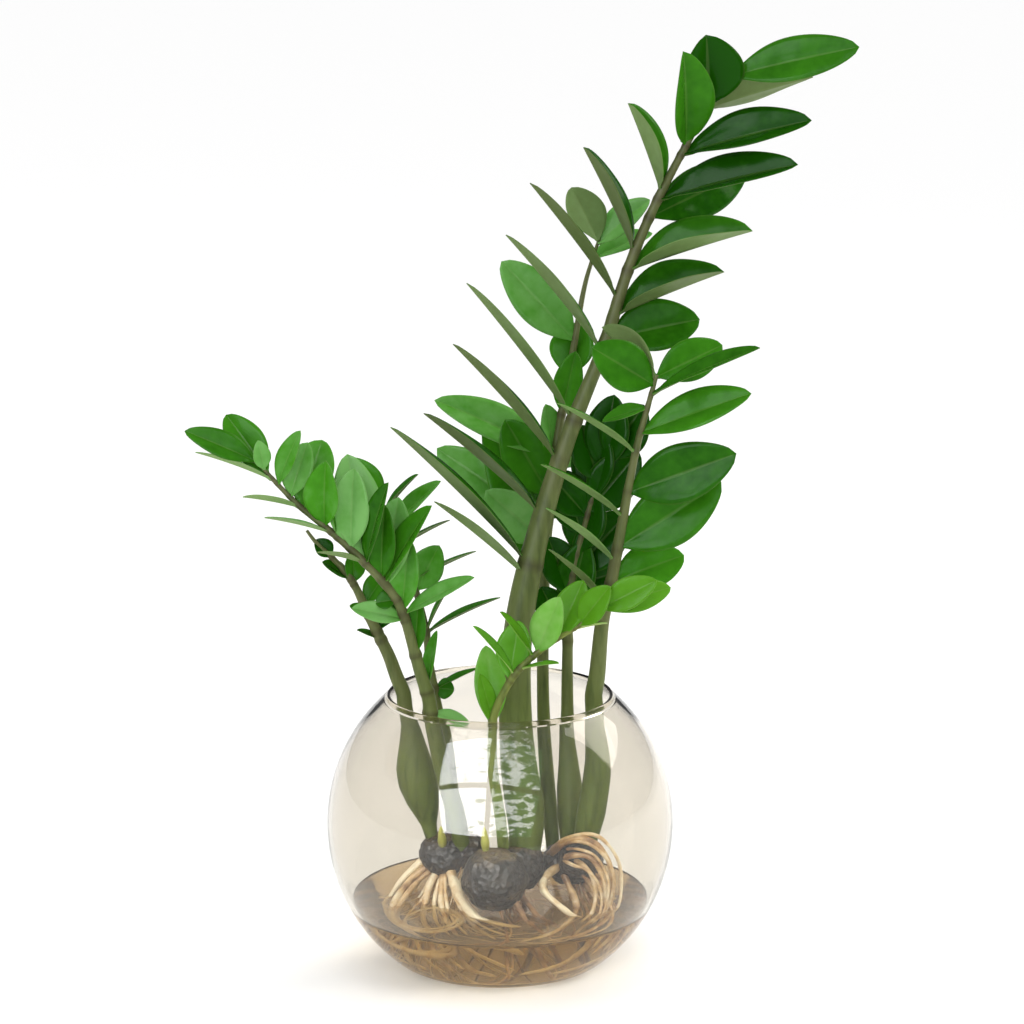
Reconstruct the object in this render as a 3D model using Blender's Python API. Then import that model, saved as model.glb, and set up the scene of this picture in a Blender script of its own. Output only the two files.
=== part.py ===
"""A ZZ plant growing in water in a clear glass ball bowl.

The model is in metres with +Z up. Its origin is the centre of the bowl's flat base. The plant is
described by fronds: each has a stem that climbs out of the bowl and leaflets in two ranks along it.
"""

import math

import bmesh
import bpy
from mathutils import Vector

# Driving dimensions, in metres. -----------------------------------------------------------------
BOWL_RADIUS = 0.100
MOUTH_RADIUS = 0.065
BASE_RADIUS = 0.058
BOWL_WALL = 0.0026
BOWL_FLOOR = 0.0045
FOOT_FILLET = 0.005
WATER_LEVEL = 0.036
PLANT_HEIGHT = 0.534
STEM_GIRTH = 1.0
LEAFLET_LENGTH = 1.0
LEAFLET_WIDTH = 1.0
LEAFLET_THICKNESS = 0.0014
ROOT_RADIUS = 0.0021
ROOT_GIRTH = 1.0
CLEARANCE = 0.00035

# The plant's points are written in millimetres for a bowl and a plant of these sizes.
DRAWN_BOWL_RADIUS = 0.100
DRAWN_MOUTH_RADIUS = 0.065
DRAWN_RIM_HEIGHT = 0.1575
DRAWN_PLANT_HEIGHT = 0.534
MM = 0.001

# A stem that leans over the rim is this much wider, seen level, than it is across.
RIM_SLANT = 1.15

# A leaflet's outline is a sine over its length. The first value moves its widest place towards the
# base, and the second fills it out. The third does the same for its thickness.
BLADE_FOOT = 0.85
BLADE_TIP = 0.6
BLADE_FLATNESS = 0.3
LEAST_SLANT = 0.35

# A leaflet that is rooted in its stem starts at this share of the stem's radius. Broader leaflets
# fan out by this much more to pass each other, and larger ones stand this much further out.
ROOTED_SHARE = 0.4
FANNING = 1.5
STAND_OFF = 0.005

# Above the mouth the fronds spread with the plant's height over this many millimetres.
GROWTH_SPAN = 60

# A root's end is this share thinner than its start, and its arch spans this share of its length.
ROOT_TAPER = 0.45
ROOT_ARCH_SPAN = 0.67

# How finely round things are made.
BOWL_SEGMENTS = 40
STEM_SIDES = 8
LEAFLET_SIDES = 4
LEAFLET_RINGS = 7

# Heights that follow from the driving dimensions.
CENTRE_HEIGHT = math.sqrt(BOWL_RADIUS**2 - BASE_RADIUS**2)
RIM_HEIGHT = CENTRE_HEIGHT + math.sqrt(BOWL_RADIUS**2 - MOUTH_RADIUS**2)
INNER_RADIUS = BOWL_RADIUS - BOWL_WALL
BOWL_SCALE = BOWL_RADIUS / DRAWN_BOWL_RADIUS
MOUTH_SCALE = MOUTH_RADIUS / DRAWN_MOUTH_RADIUS
FROND_SCALE = (PLANT_HEIGHT - RIM_HEIGHT) / (DRAWN_PLANT_HEIGHT - DRAWN_RIM_HEIGHT)

# The fronds. "foot" holds the stem's points inside the bowl and "rise" those above it, both in
# millimetres from the centre of the base. "girth" gives the stem's radius in millimetres at
# fractions of its length. A leaflet is (how far up the stem, lean from upright towards +X, lean
# towards -Y, length, width, turn, fold). The turn is how far its upper face is rolled from facing -Y
# to facing the sky, and the fold is how far its two halves are lifted from the midrib. The four
# angles are in degrees and the two sizes in millimetres.
FRONDS = {
    "tall": {
        "foot": ((14, -8, 64), (15, -6, 86), (11, -7, 114), (9, -8, 141)),
        "rise": (
            (9, -8, 180), (14, -6, 220), (27, 0, 271), (42, 5, 316), (58, 10, 355),
            (72, 15, 400), (87, 18, 436), (103, 20, 467), (115, 20, 489), (130, 20, 510),
        ),
        "girth": (
            (0, 9), (0.06, 11.5), (0.14, 10), (0.33, 7.8), (0.45, 5.8), (0.6, 4), (0.85, 2.4), (1, 1.3),
        ),
        "droop": 0.04,
        "twist": 12,
        "leaflets": (
            (0.648, 77, -8, 55, 34, 30, 20), (0.679, 67, -5, 67, 38, 73, 42),
            (0.736, 70, 4, 73, 39, 75, 42), (0.803, 69, -34, 76, 30, 10, 10),
            (0.826, 73, 10, 81, 33, 60, 28), (0.886, 73, 5, 75, 33, 55, 25),
            (0.95, 74, -19, 65, 32, 125, 15), (0.995, 75, 8, 73, 28, 32, 12),
            (0.95, -2, 16, 42, 42, 22, 20), (0.898, -2, 30, 62, 33, 35, 32),
            (0.837, -19, 8, 54, 29, 78, 42), (0.759, -24, 8, 67, 28, 84, 32),
            (0.7, -35, 5, 83, 26, 94, 26), (0.635, -37, 5, 86, 26, 94, 26),
            (0.545, -35, 5, 100, 24, 97, 24), (0.493, -39, 5, 91, 26, 95, 26),
            (0.426, -47, 0, 89, 28, 93, 26), (0.364, -41, 10, 115, 26, 95, 26),
            (0.349, -45, 18, 75, 24, 104, 18),
        ),
    },
    "right": {
        "foot": ((48, -4, 66), (53, -6, 92), (56, -8, 118), (54, -9, 146)),
        "rise": (
            (56, -14, 181), (58, -17, 205), (62, -18, 223), (69, -20, 264), (76, -22, 304),
            (84, -24, 335), (87, -25, 347),
        ),
        "girth": (
            (0, 6.5), (0.08, 8.4), (0.17, 7.8), (0.26, 5.6), (0.37, 4.8), (0.55, 3.6), (0.8, 2.3), (1, 1.2),
        ),
        "droop": 0.05,
        "twist": 8,
        "leaflets": (
            (0.995, 67, -20, 44, 24, 15, 10), (0.96, 59, 23, 71, 18, 76, 20),
            (0.879, 66, 15, 67, 27, 48, 18), (0.757, 67, 15, 66, 34, 15, 14),
            (0.644, 57, 3, 69, 36, 10, 14), (0.571, 70, -12, 45, 28, 30, 15),
            (0.979, -56, 20, 44, 28, 20, 12), (0.995, -46, -22, 42, 28, 122, 20),
            (0.932, -107, -10, 27, 16, 70, 15), (0.841, -51, 25, 60, 18, 100, 18),
            (0.709, -50, 25, 64, 20, 100, 18), (0.617, -45, 25, 59, 18, 105, 18),
            (0.529, -39, 27, 56, 16, 105, 18),
        ),
    },
    "young": {
        "foot": ((2, -20, 72), (0, -28, 94), (-4, -34, 122), (-4, -38, 145)),
        "rise": (
            (-3, -40, 157), (6, -44, 177), (17, -46, 190), (32, -48, 202), (47, -50, 212),
            (57, -52, 221),
        ),
        "girth": ((0, 3.4), (0.3, 2.9), (0.6, 2.1), (1, 1.0)),
        "droop": 0.08,
        "twist": 0,
        "leaflets": (
            (0.444, -3, -14, 46, 19, 18, 8), (0.46, -11, 14, 31, 11, 30, 12),
            (0.643, -33, 14, 39, 12, 80, 15), (0.615, 8, -22, 35, 21, 15, 15),
            (0.728, -29, 18, 35, 12, 78, 15), (0.743, 18, 16, 37, 20, 25, 16),
            (0.827, 23, -12, 35, 20, 25, 16), (0.993, 59, 8, 35, 19, 25, 20),
            (0.991, 75, -16, 43, 20, 30, 20), (0.903, 34, 16, 30, 18, 30, 16),
            (0.67, 66, 36, 28, 10, 98, 10), (0.885, 84, -32, 22, 10, 98, 12),
        ),
    },
    "left": {
        "foot": ((-22, 0, 66), (-25, -6, 86), (-33, -13, 118), (-39, -20, 146)),
        "rise": (
            (-40, -22, 160), (-45, -24, 177), (-49, -26, 193), (-54, -28, 211), (-61, -29, 225),
            (-77, -30, 243), (-94, -30, 259), (-112, -30, 274), (-128, -30, 291), (-136, -30, 300),
        ),
        "girth": ((0, 5), (0.1, 5.5), (0.3, 4.4), (0.55, 2.8), (0.8, 1.9), (1, 0.9)),
        "droop": 0.08,
        "twist": 0,
        "leaflets": (
            (0.995, -64, 5, 43, 18, 40, 20), (0.96, -38, -25, 44, 22, 20, 20),
            (0.972, -8, 17, 18, 11, 20, 20), (0.931, 20, 10, 34, 14, 35, 20),
            (0.895, 17, -5, 32, 20, 20, 20), (0.859, 14, -25, 42, 30, 15, 25),
            (0.802, 0, 17, 40, 24, 20, 28), (0.768, -2, -10, 30, 20, 60, 20), (0.731, 1, 4, 46, 26, 15, 24),
            (0.688, 11, 22, 55, 18, 55, 20), (0.691, -9, -14, 62, 30, 15, 20),
            (0.642, 1, 10, 44, 20, 20, 20), (0.633, 26, 14, 55, 20, 55, 24), (0.625, 6, -8, 50, 26, 15, 20),
            (0.56, 4, 4, 42, 20, 18, 22), (0.556, 55, 20, 49, 14, 60, 20), (0.947, -66, 0, 45, 12, 100, 20),
            (0.868, -76, 0, 32, 11, 110, 20), (0.785, -72, 5, 38, 14, 100, 15),
            (0.694, -70, 15, 28, 13, 110, 15), (0.543, -73, 12, 31, 14, 40, 20),
            (0.589, -96, 5, 12, 13, 40, 20), (0.463, 2, 8, 32, 14, 20, 20), (0.378, 6, -12, 35, 11, 50, 20),
            (0.332, 109, -14, 25, 10, 50, 18),
        ),
    },
    "outer": {
        "foot": ((-39, 7, 65), (-43, 7, 86), (-49, 4, 111), (-53, 1, 140)),
        "rise": (
            (-61, -2, 174), (-68, -4, 191), (-76, -5, 208), (-82, -6, 222), (-91, -7, 235),
            (-103, -8, 247), (-109, -8, 255),
        ),
        "girth": (
            (0, 3), (0.06, 4.6), (0.13, 9.5), (0.19, 11.5), (0.24, 10.8), (0.3, 7.5), (0.36, 4.8),
            (0.65, 3.2), (0.85, 1.8), (1, 0.9),
        ),
        "droop": 0.06,
        "twist": 0,
        "leaflets": (
            (0.897, -40, 0, 14, 12, 30, 20), (0.818, -54, 5, 19, 12, 60, 20),
            (0.705, -61, 0, 12, 9, 60, 15), (0.626, -63, 5, 15, 8, 80, 15),
            (0.802, -1, -14, 18, 14, 30, 20), (0.733, 34, -20, 25, 15, 30, 20),
            (0.652, 31, -20, 28, 16, 30, 20),
        ),
    },
    "rear_left": {
        "foot": ((-27, 10, 66), (-28, 18, 84), (-30, 24, 110), (-36, 28, 140)),
        "rise": (
            (-41, 30, 167), (-43, 32, 187), (-49, 34, 211), (-57, 36, 228), (-65, 38, 247), (-69, 38, 260),
        ),
        "girth": ((0, 4), (0.1, 4.6), (0.4, 2.8), (0.75, 1.7), (1, 0.9)),
        "droop": 0.08,
        "twist": 0,
        "leaflets": (
            (0.995, -34, -10, 34, 22, 15, 20), (0.976, 36, 10, 32, 12, 85, 20),
            (0.923, 42, 5, 42, 16, 60, 20), (0.867, 59, -12, 35, 12, 95, 15),
            (0.864, -20, -15, 26, 18, 20, 20), (0.733, 26, 2, 30, 22, 15, 20),
            (0.763, 62, -12, 41, 13, 95, 15), (0.611, 63, -15, 48, 15, 90, 15),
            (0.449, 95, 5, 12, 13, 20, 15), (0.442, 64, -20, 30, 11, 85, 15),
            (0.616, 24, 0, 32, 10, 85, 15), (0.712, -36, -20, 28, 18, 20, 20),
        ),
    },
    "rear": {
        "foot": ((31, 15, 60), (29, 23, 82), (27, 26, 105), (25, 30, 146)),
        "rise": (
            (25, 34, 193), (26, 36, 228), (29, 40, 263), (32, 42, 292), (37, 44, 321), (42, 46, 349),
            (48, 48, 384), (53, 48, 402), (57, 48, 414),
        ),
        "girth": ((0, 4), (0.08, 4.6), (0.25, 3.6), (0.6, 2.8), (0.85, 1.8), (1, 0.9)),
        "droop": 0.06,
        "twist": 0,
        "leaflets": (
            (0.995, -25, 10, 36, 24, 160, 18), (0.99, 47, 5, 39, 21, 45, 18),
            (0.965, 66, -12, 38, 20, 60, 18), (0.83, -42, 0, 62, 30, 15, 18),
            (0.77, 11, -15, 33, 28, 20, 18), (0.71, 12, 12, 39, 18, 10, 18), (0.63, -6, 2, 35, 20, 40, 18),
            (0.575, -29, 10, 54, 32, 10, 18), (0.5, -45, 14, 49, 28, 10, 18),
            (0.645, -63, 0, 76, 28, 45, 18), (0.53, -57, -15, 80, 30, 15, 18),
            (0.62, 54, -20, 34, 25, 40, 18), (0.54, 54, -20, 33, 25, 40, 18),
            (0.43, -17, -8, 108, 31, 15, 18),
        ),
    },
    "inner": {
        "foot": ((41, 10, 62), (41, 13, 84), (40, 15, 108), (39, 17, 138)),
        "rise": ((39, 17, 185), (41, 18, 220), (48, 18, 250), (54, 18, 273), (62, 18, 293)),
        "girth": ((0, 5.5), (0.08, 7.8), (0.15, 7.6), (0.26, 4.6), (0.36, 3.6), (0.6, 2.8), (1, 1.0)),
        "droop": 0.06,
        "twist": 0,
        "leaflets": (
            (0.99, 32, 5, 38, 30, 15, 18), (0.93, -14, 0, 34, 27, 20, 18),
            (0.88, 4, -4, 44, 27, 20, 15), (0.85, 38, 5, 46, 30, 15, 18),
            (0.79, -16, 0, 40, 28, 15, 18), (0.69, 40, 0, 48, 30, 15, 18),
            (0.64, -20, 0, 36, 26, 25, 18), (0.57, 47, 0, 38, 26, 20, 18),
            (0.52, -24, 0, 36, 24, 20, 15), (0.96, 8, 0, 44, 28, 15, 18),
            (0.74, 14, 0, 40, 28, 20, 18), (0.84, -40, 6, 34, 24, 20, 18),
            (0.6, 12, 4, 42, 26, 20, 18), (0.66, 72, 0, 36, 24, 20, 18),
        ),
    },
}

# Fronds whose leaflets are each a piece of their own. On the others they are one with the stem.
FRONDS_WITH_LOOSE_LEAFLETS = ("tall", "right", "young")

# The fronds that grow from one rhizome stand side by side.
CLUMPS = (("left", "outer", "rear_left"), ("tall", "young"), ("right", "rear", "inner"))

# The rhizomes. Each is a cluster of knobs, (centre, half sizes), in millimetres, that the roots of
# its own plant grow from. A root is (bearing from +X, arch, reach, sweep): it leaves the first
# knob, rises by the arch, falls to the bowl's floor at the reach, and turns by the sweep on its way.
# A drawn root is (radius, then its points), in millimetres.
RHIZOMES = {
    "left": {
        "knobs": (((-32, 5, 60), (15, 14, 13)), ((-18, 4, 64), (10, 10, 8))),
        "roots": ((150, 4, 44, 40), (176, 2, 50, 25), (125, 3, 48, 15), (100, 4, 56, 10)),
        "drawn": (
            (3.4, (-30, 0, 56), (-24, -18, 44), (-14, -36, 36), (2, -46, 32), (12, -44, 27)),
            (2.4, (-32, 2, 54), (-34, -14, 40), (-30, -32, 24), (-24, -48, 16)),
            (2.0, (-28, 2, 54), (-24, -10, 38), (-16, -32, 20), (-2, -52, 14)),
            (2.5, (-34, 3, 54), (-42, -8, 42), (-44, -24, 20), (-38, -42, 14)),
            (
                2.5, (-36, 6, 56), (-52, 0, 46), (-62, -18, 34), (-56, -40, 27), (-37, -50, 25),
                (-22, -38, 27), (-27, -22, 32), (-42, -18, 32), (-54, -28, 28),
            ),
            (2.0, (-36, 8, 54), (-52, 10, 40), (-66, 2, 26), (-62, -24, 18), (-46, -44, 14)),
        ),
    },
    "middle": {
        "knobs": (((-3, -32, 57), (19, 18, 18)), ((12, -10, 58), (14, 15, 14))),
        "roots": ((318, 0, 34, 30), (345, 0, 40, 30)),
        "drawn": ((1.8, (12, -10, 48), (14, -20, 26), (4, -26, 12), (-14, -22, 9)),),
    },
    "right": {
        "knobs": (((42, 6, 55), (18, 13, 13)), ((46, -4, 61), (13, 12, 12))),
        "roots": ((28, 12, 34, 10), (52, 6, 40, 14), (78, 4, 50, 18), (105, 3, 56, 10)),
        "drawn": (
            (2.2, (28, 4, 60), (36, -13, 72), (48, -19, 77), (60, -19, 68), (65, -18, 48), (60, -22, 26)),
            (2.0, (36, -4, 60), (42, -19, 67), (52, -21, 66), (59, -22, 54), (60, -26, 36), (52, -34, 22)),
            (1.8, (36, 0, 60), (45, -16, 62), (53, -23, 55), (54, -28, 40), (46, -36, 27)),
            (2.7, (38, 2, 56), (27, -16, 54), (25, -28, 49), (36, -34, 40), (47, -33, 32)),
            (2.2, (36, -2, 52), (44, -20, 34), (32, -44, 20), (10, -58, 15)),
            (2.0, (50, 2, 52), (62, 2, 36), (63, -16, 20), (48, -42, 15), (26, -54, 13)),
        ),
    },
}
ROOT_POINTS = 11
ROOT_SMOOTHING = 2
ROOT_SIDES = 6

# Buds that stand on the rhizomes: (foot, tip, radius), in millimetres.
BUDS = {
    "left_bud": ((-33, -3, 66), (-34, -12, 82), 2.8),
    "middle_bud": ((-8, -31, 73), (-9, -35, 89), 2.6),
}


# Materials. -------------------------------------------------------------------------------------
def surface(name, colour, roughness, transmission=0.0):
    """A plain Principled material."""
    material = bpy.data.materials.new(name)
    material.use_nodes = True
    shader = material.node_tree.nodes["Principled BSDF"]
    shader.inputs["Base Color"].default_value = (*colour, 1)
    shader.inputs["Roughness"].default_value = roughness
    shader.inputs["Metallic"].default_value = 0
    shader.inputs["Transmission Weight"].default_value = transmission
    return material


# Meshes. ----------------------------------------------------------------------------------------
def new_object(name, mesh, material):
    obj = bpy.data.objects.new(name, mesh)
    bpy.context.scene.collection.objects.link(obj)
    mesh.materials.clear()
    mesh.materials.append(material)
    mesh.shade_smooth()
    return obj


def as_helper(obj):
    """Marks an object as a guide or a cutter, which is not a piece of the plant."""
    obj.hide_render = True
    obj.display_type = "WIRE"
    return obj


def smooth_path(points, steps):
    """A Catmull-Rom curve through the points, with so many steps between each pair."""
    ends = [2 * points[0] - points[1]] + list(points) + [2 * points[-1] - points[-2]]
    path = []
    for a, b, c, d in zip(ends, ends[1:], ends[2:], ends[3:]):
        for step in range(steps):
            t = step / steps
            square = (2 * a - 5 * b + 4 * c - d) * t**2
            cube = (3 * b - a - 3 * c + d) * t**3
            path.append(0.5 * (2 * b + (c - a) * t + square + cube))
    return path + [points[-1]]


def distances(path):
    """How far along the path each of its points lies, as a fraction of its length."""
    total = [0.0]
    for a, b in zip(path, path[1:]):
        total.append(total[-1] + (b - a).length)
    return [value / total[-1] for value in total]


def between(table, fraction):
    """Reads a table of (fraction, value) with straight lines between its rows."""
    for (low, first), (high, second) in zip(table, table[1:]):
        if fraction <= high:
            return first + (second - first) * (fraction - low) / (high - low)
    return table[-1][1]


def tube_mesh(name, path, radii, sides):
    """A closed tube along the path, made as a bevelled curve."""
    curve = bpy.data.curves.new(name, "CURVE")
    curve.dimensions = "3D"
    curve.bevel_depth = 1.0
    curve.bevel_resolution = sides // 2 - 2
    curve.use_fill_caps = True
    spline = curve.splines.new("POLY")
    spline.points.add(len(path) - 1)
    for point, place, radius in zip(spline.points, path, radii):
        point.co = (*place, 1)
        point.radius = radius
    guide = bpy.data.objects.new(name + "_guide", curve)
    mesh = bpy.data.meshes.new_from_object(guide)
    bpy.data.objects.remove(guide)
    bm = bmesh.new()
    bm.from_mesh(mesh)
    bmesh.ops.remove_doubles(bm, verts=bm.verts, dist=1e-6)
    bmesh.ops.recalc_face_normals(bm, faces=bm.faces)
    bm.to_mesh(mesh)
    bm.free()
    return mesh


def ball_mesh(name, centre, half_sizes, swell=0.0):
    """An ellipsoid, larger all round by the swell."""
    bm = bmesh.new()
    bmesh.ops.create_uvsphere(bm, u_segments=14, v_segments=9, radius=1)
    bmesh.ops.scale(bm, vec=Vector([size + swell for size in half_sizes]), verts=bm.verts)
    bmesh.ops.translate(bm, vec=centre, verts=bm.verts)
    mesh = bpy.data.meshes.new(name)
    bm.to_mesh(mesh)
    bm.free()
    return mesh


def boolean(obj, operation, others):
    """Joins the other objects to this one, or cuts them from it."""
    group = bpy.data.collections.new(f"{obj.name}_{operation.lower()}")
    for other in others:
        group.objects.link(as_helper(other))
    modifier = obj.modifiers.new(operation.title(), "BOOLEAN")
    modifier.operation = operation
    modifier.solver = "EXACT"
    modifier.operand_type = "COLLECTION"
    modifier.collection = group


# The bowl and the water. ------------------------------------------------------------------------
def arc_points(radius, centre_height, low, high, steps):
    """Points of a circle about the axis's centre, from one height to another, as (radius, height)."""
    start = math.asin((low - centre_height) / radius)
    end = math.asin((high - centre_height) / radius)
    points = []
    for step in range(steps + 1):
        angle = start + (end - start) * step / steps
        points.append((radius * math.cos(angle), centre_height + radius * math.sin(angle)))
    return points


def turned(name, outline, material):
    """Spins an outline of (radius, height) that starts and ends on the axis into a closed body."""
    bm = bmesh.new()
    verts = [bm.verts.new((radius, 0, height)) for radius, height in outline]
    edges = [bm.edges.new(pair) for pair in zip(verts, verts[1:])]
    bmesh.ops.spin(
        bm, geom=verts + edges, axis=(0, 0, 1), cent=(0, 0, 0),
        angle=math.tau, steps=BOWL_SEGMENTS, use_merge=True, use_duplicate=False,
    )
    bmesh.ops.remove_doubles(bm, verts=bm.verts, dist=1e-6)
    bmesh.ops.recalc_face_normals(bm, faces=bm.faces)
    mesh = bpy.data.meshes.new(name)
    bm.to_mesh(mesh)
    bm.free()
    return new_object(name, mesh, material)


def bowl():
    """A ball cut flat at the base and open at the top, with a rounded rim and a thicker floor."""
    glass = surface("clear glass", (0.90, 0.88, 0.82), 0.03, 0.9)
    foot_top = FOOT_FILLET
    foot_radius = math.sqrt(BOWL_RADIUS**2 - (CENTRE_HEIGHT - foot_top) ** 2)
    outline = [(0, 0), (BASE_RADIUS - FOOT_FILLET, 0)]
    for step in range(1, 4):
        t = step / 3
        outline.append((
            BASE_RADIUS - FOOT_FILLET + t * (foot_radius - BASE_RADIUS + FOOT_FILLET),
            foot_top * t * t,
        ))
    outer = arc_points(BOWL_RADIUS, CENTRE_HEIGHT, foot_top, RIM_HEIGHT, 13)
    inner = arc_points(INNER_RADIUS, CENTRE_HEIGHT, BOWL_FLOOR, RIM_HEIGHT, 13)
    lip = BOWL_WALL / 2
    middle = (outer[-1][0] + inner[-1][0]) / 2
    outline += outer[1:]
    for step in range(1, 4):
        angle = math.pi * step / 4
        outline.append((middle + lip * math.cos(angle), RIM_HEIGHT + lip * math.sin(angle)))
    outline += reversed(inner)
    outline.append((0, BOWL_FLOOR))
    return turned("bowl", outline, glass)


def water(cutters):
    """The water in the bottom of the bowl, clear of the glass and of all that stands in it."""
    clear = surface("tea-tinted water", (0.62, 0.45, 0.22), 0.02, 0.9)
    outline = [(0, BOWL_FLOOR + CLEARANCE)]
    outline += arc_points(
        INNER_RADIUS - 2 * CLEARANCE, CENTRE_HEIGHT, BOWL_FLOOR + CLEARANCE, WATER_LEVEL, 5
    )
    outline.append((0, WATER_LEVEL))
    body = turned("water", outline, clear)
    boolean(body, "DIFFERENCE", cutters)
    bpy.context.view_layer.update()
    cut = bpy.data.meshes.new_from_object(body.evaluated_get(bpy.context.evaluated_depsgraph_get()))
    body.modifiers.clear()
    body.data = cut
    keep_largest_piece(cut)
    return body


def keep_largest_piece(mesh):
    """Takes away the drops of water that roots close off from the rest."""
    bm = bmesh.new()
    bm.from_mesh(mesh)
    left = set(bm.verts)
    pieces = []
    while left:
        front = [left.pop()]
        piece = set(front)
        while front:
            vert = front.pop()
            for edge in vert.link_edges:
                other = edge.other_vert(vert)
                if other not in piece:
                    piece.add(other)
                    front.append(other)
        left -= piece
        pieces.append(piece)
    largest = max(pieces, key=len)
    drops = [vert for vert in bm.verts if vert not in largest]
    bmesh.ops.delete(bm, geom=drops, context="VERTS")
    bm.to_mesh(mesh)
    bm.free()


# The rhizomes and their roots. ------------------------------------------------------------------
def in_bowl(point):
    """A point of the drawing, moved with the bowl's size and, towards the rim, with its mouth."""
    place = Vector(point) * MM
    height = place.z * RIM_HEIGHT / DRAWN_RIM_HEIGHT
    share = min(1.0, place.z / DRAWN_RIM_HEIGHT) ** 2
    scale = BOWL_SCALE + (MOUTH_SCALE - BOWL_SCALE) * share
    return Vector((place.x * scale, place.y * scale, height))


def kept_inside(point, radius):
    """Moves a point so that a root or stem of this radius there clears the bowl's glass."""
    height = max(point.z, BOWL_FLOOR + radius + 2 * CLEARANCE)
    room = INNER_RADIUS - 2 * CLEARANCE
    level = min(height, RIM_HEIGHT) - CENTRE_HEIGHT
    above = max(0.0, height - RIM_HEIGHT - BOWL_WALL)
    across = math.sqrt(room**2 - level**2) - radius * RIM_SLANT + above
    flat = Vector((point.x, point.y, 0))
    if flat.length > across:
        flat *= across / flat.length
    return Vector((flat.x, flat.y, height))


def root_path(start, bearing, arch, reach, sweep):
    """A root's points: up and over its arch, then down to the floor, turning as it goes."""
    points = []
    for step in range(ROOT_POINTS):
        t = step / (ROOT_POINTS - 1)
        angle = math.radians(bearing + sweep * t)
        out = reach * MM * BOWL_SCALE * math.sin(t * math.pi / 2)
        fall = t * t * (3 - 2 * t)
        hump = math.sin(math.pi * min(1, t / ROOT_ARCH_SPAN))
        height = start.z * (1 - fall) + arch * MM * BOWL_SCALE * hump
        point = start + Vector((out * math.cos(angle), out * math.sin(angle), height - start.z))
        points.append(point)
    for _ in range(ROOT_SMOOTHING):
        points = [kept_inside(point, ROOT_RADIUS) for point in points]
        middles = [(a + 2 * b + c) / 4 for a, b, c in zip(points, points[1:], points[2:])]
        points = [points[0]] + middles + [points[-1]]
    return points


def rhizome_shapes(name, design, material, swell):
    """The knobs and roots of one rhizome, as separate bodies, larger all round by the swell."""
    shapes = []
    for number, (centre, half_sizes) in enumerate(design["knobs"]):
        size = [half * MM * BOWL_SCALE for half in half_sizes]
        mesh = ball_mesh(name, in_bowl(centre), size, swell)
        shapes.append(new_object(f"{name}_knob_{number}", mesh, material))
    start = in_bowl(design["knobs"][0][0])
    for number, root in enumerate(design["roots"]):
        path = root_path(start, *root)
        radii = [ROOT_RADIUS * (1 - ROOT_TAPER * share) + 2 * swell for share in distances(path)]
        mesh = tube_mesh(name, path, radii, ROOT_SIDES)
        shapes.append(new_object(f"{name}_root_{number}", mesh, material))
    for number, (girth, *points) in enumerate(design["drawn"]):
        radius = girth * MM * ROOT_GIRTH
        path = smooth_path([kept_inside(in_bowl(point), radius) for point in points], 3)
        path = [kept_inside(point, radius) for point in path]
        radii = [radius * (1 - ROOT_TAPER * share) + 2 * swell for share in distances(path)]
        mesh = tube_mesh(name, path, radii, ROOT_SIDES)
        shapes.append(new_object(f"{name}_drawn_root_{number}", mesh, material))
    return shapes


def rhizome(name, design, material):
    """One rhizome with its roots, as one body."""
    shapes = rhizome_shapes(name, design, material, 0)
    body = shapes[0]
    body.name = f"{name}_rhizome"
    boolean(body, "UNION", shapes[1:])
    return body


def bud(name, foot, tip, radius, material):
    """A short pointed shoot."""
    path = smooth_path([in_bowl(foot), (in_bowl(foot) + in_bowl(tip)) / 2, in_bowl(tip)], 3)
    profile = ((0, 0.7), (0.35, 1), (0.8, 0.55), (1, 0.12))
    radii = [radius * MM * between(profile, share) for share in distances(path)]
    return new_object(name, tube_mesh(name, path, radii, STEM_SIDES), material)


# The fronds. ------------------------------------------------------------------------------------
def frond_lines(name, design):
    """A stem's points, its radius at each, and each one's share of the length in the drawing.

    The foot keeps its place in the bowl, and the rest grows with the plant about the tall frond's
    exit, so fronds keep their distances. Thicker stems stand further from others of their clump.
    """
    clump = next(names for names in CLUMPS if name in names)
    middle = sum((Vector(FRONDS[other]["foot"][0]) for other in clump), Vector()) / len(clump)
    aside = (Vector(design["foot"][0]) - middle) * MM * (STEM_GIRTH - 1)
    aside.z = 0
    drawn_exit = Vector(design["foot"][-1])
    from_centre = drawn_exit - Vector(FRONDS["tall"]["foot"][-1])
    from_centre.z = 0
    foot = [in_bowl(point) + aside for point in design["foot"]]
    rise = []
    for point in design["rise"]:
        above = Vector(point) - drawn_exit
        spread = from_centre * (growth(above.z) - 1)
        rise.append(foot[-1] + (above * FROND_SCALE + spread) * MM)
    drawn = smooth_path([Vector(point) for point in design["foot"] + design["rise"]], 2)
    shares = distances(drawn)
    radii = [
        between(design["girth"], share) * MM * STEM_GIRTH * growth(point.z - drawn_exit.z)
        for point, share in zip(drawn, shares)
    ]
    path = [kept_inside(point, radius) for point, radius in zip(smooth_path(foot + rise, 2), radii)]
    return clear_of_rim(path, radii), radii, shares


def growth(above):
    """How much the plant's height widens what stands this many millimetres above the mouth."""
    return 1 + (FROND_SCALE - 1) * min(1.0, max(0.0, above) / GROWTH_SPAN)


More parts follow.
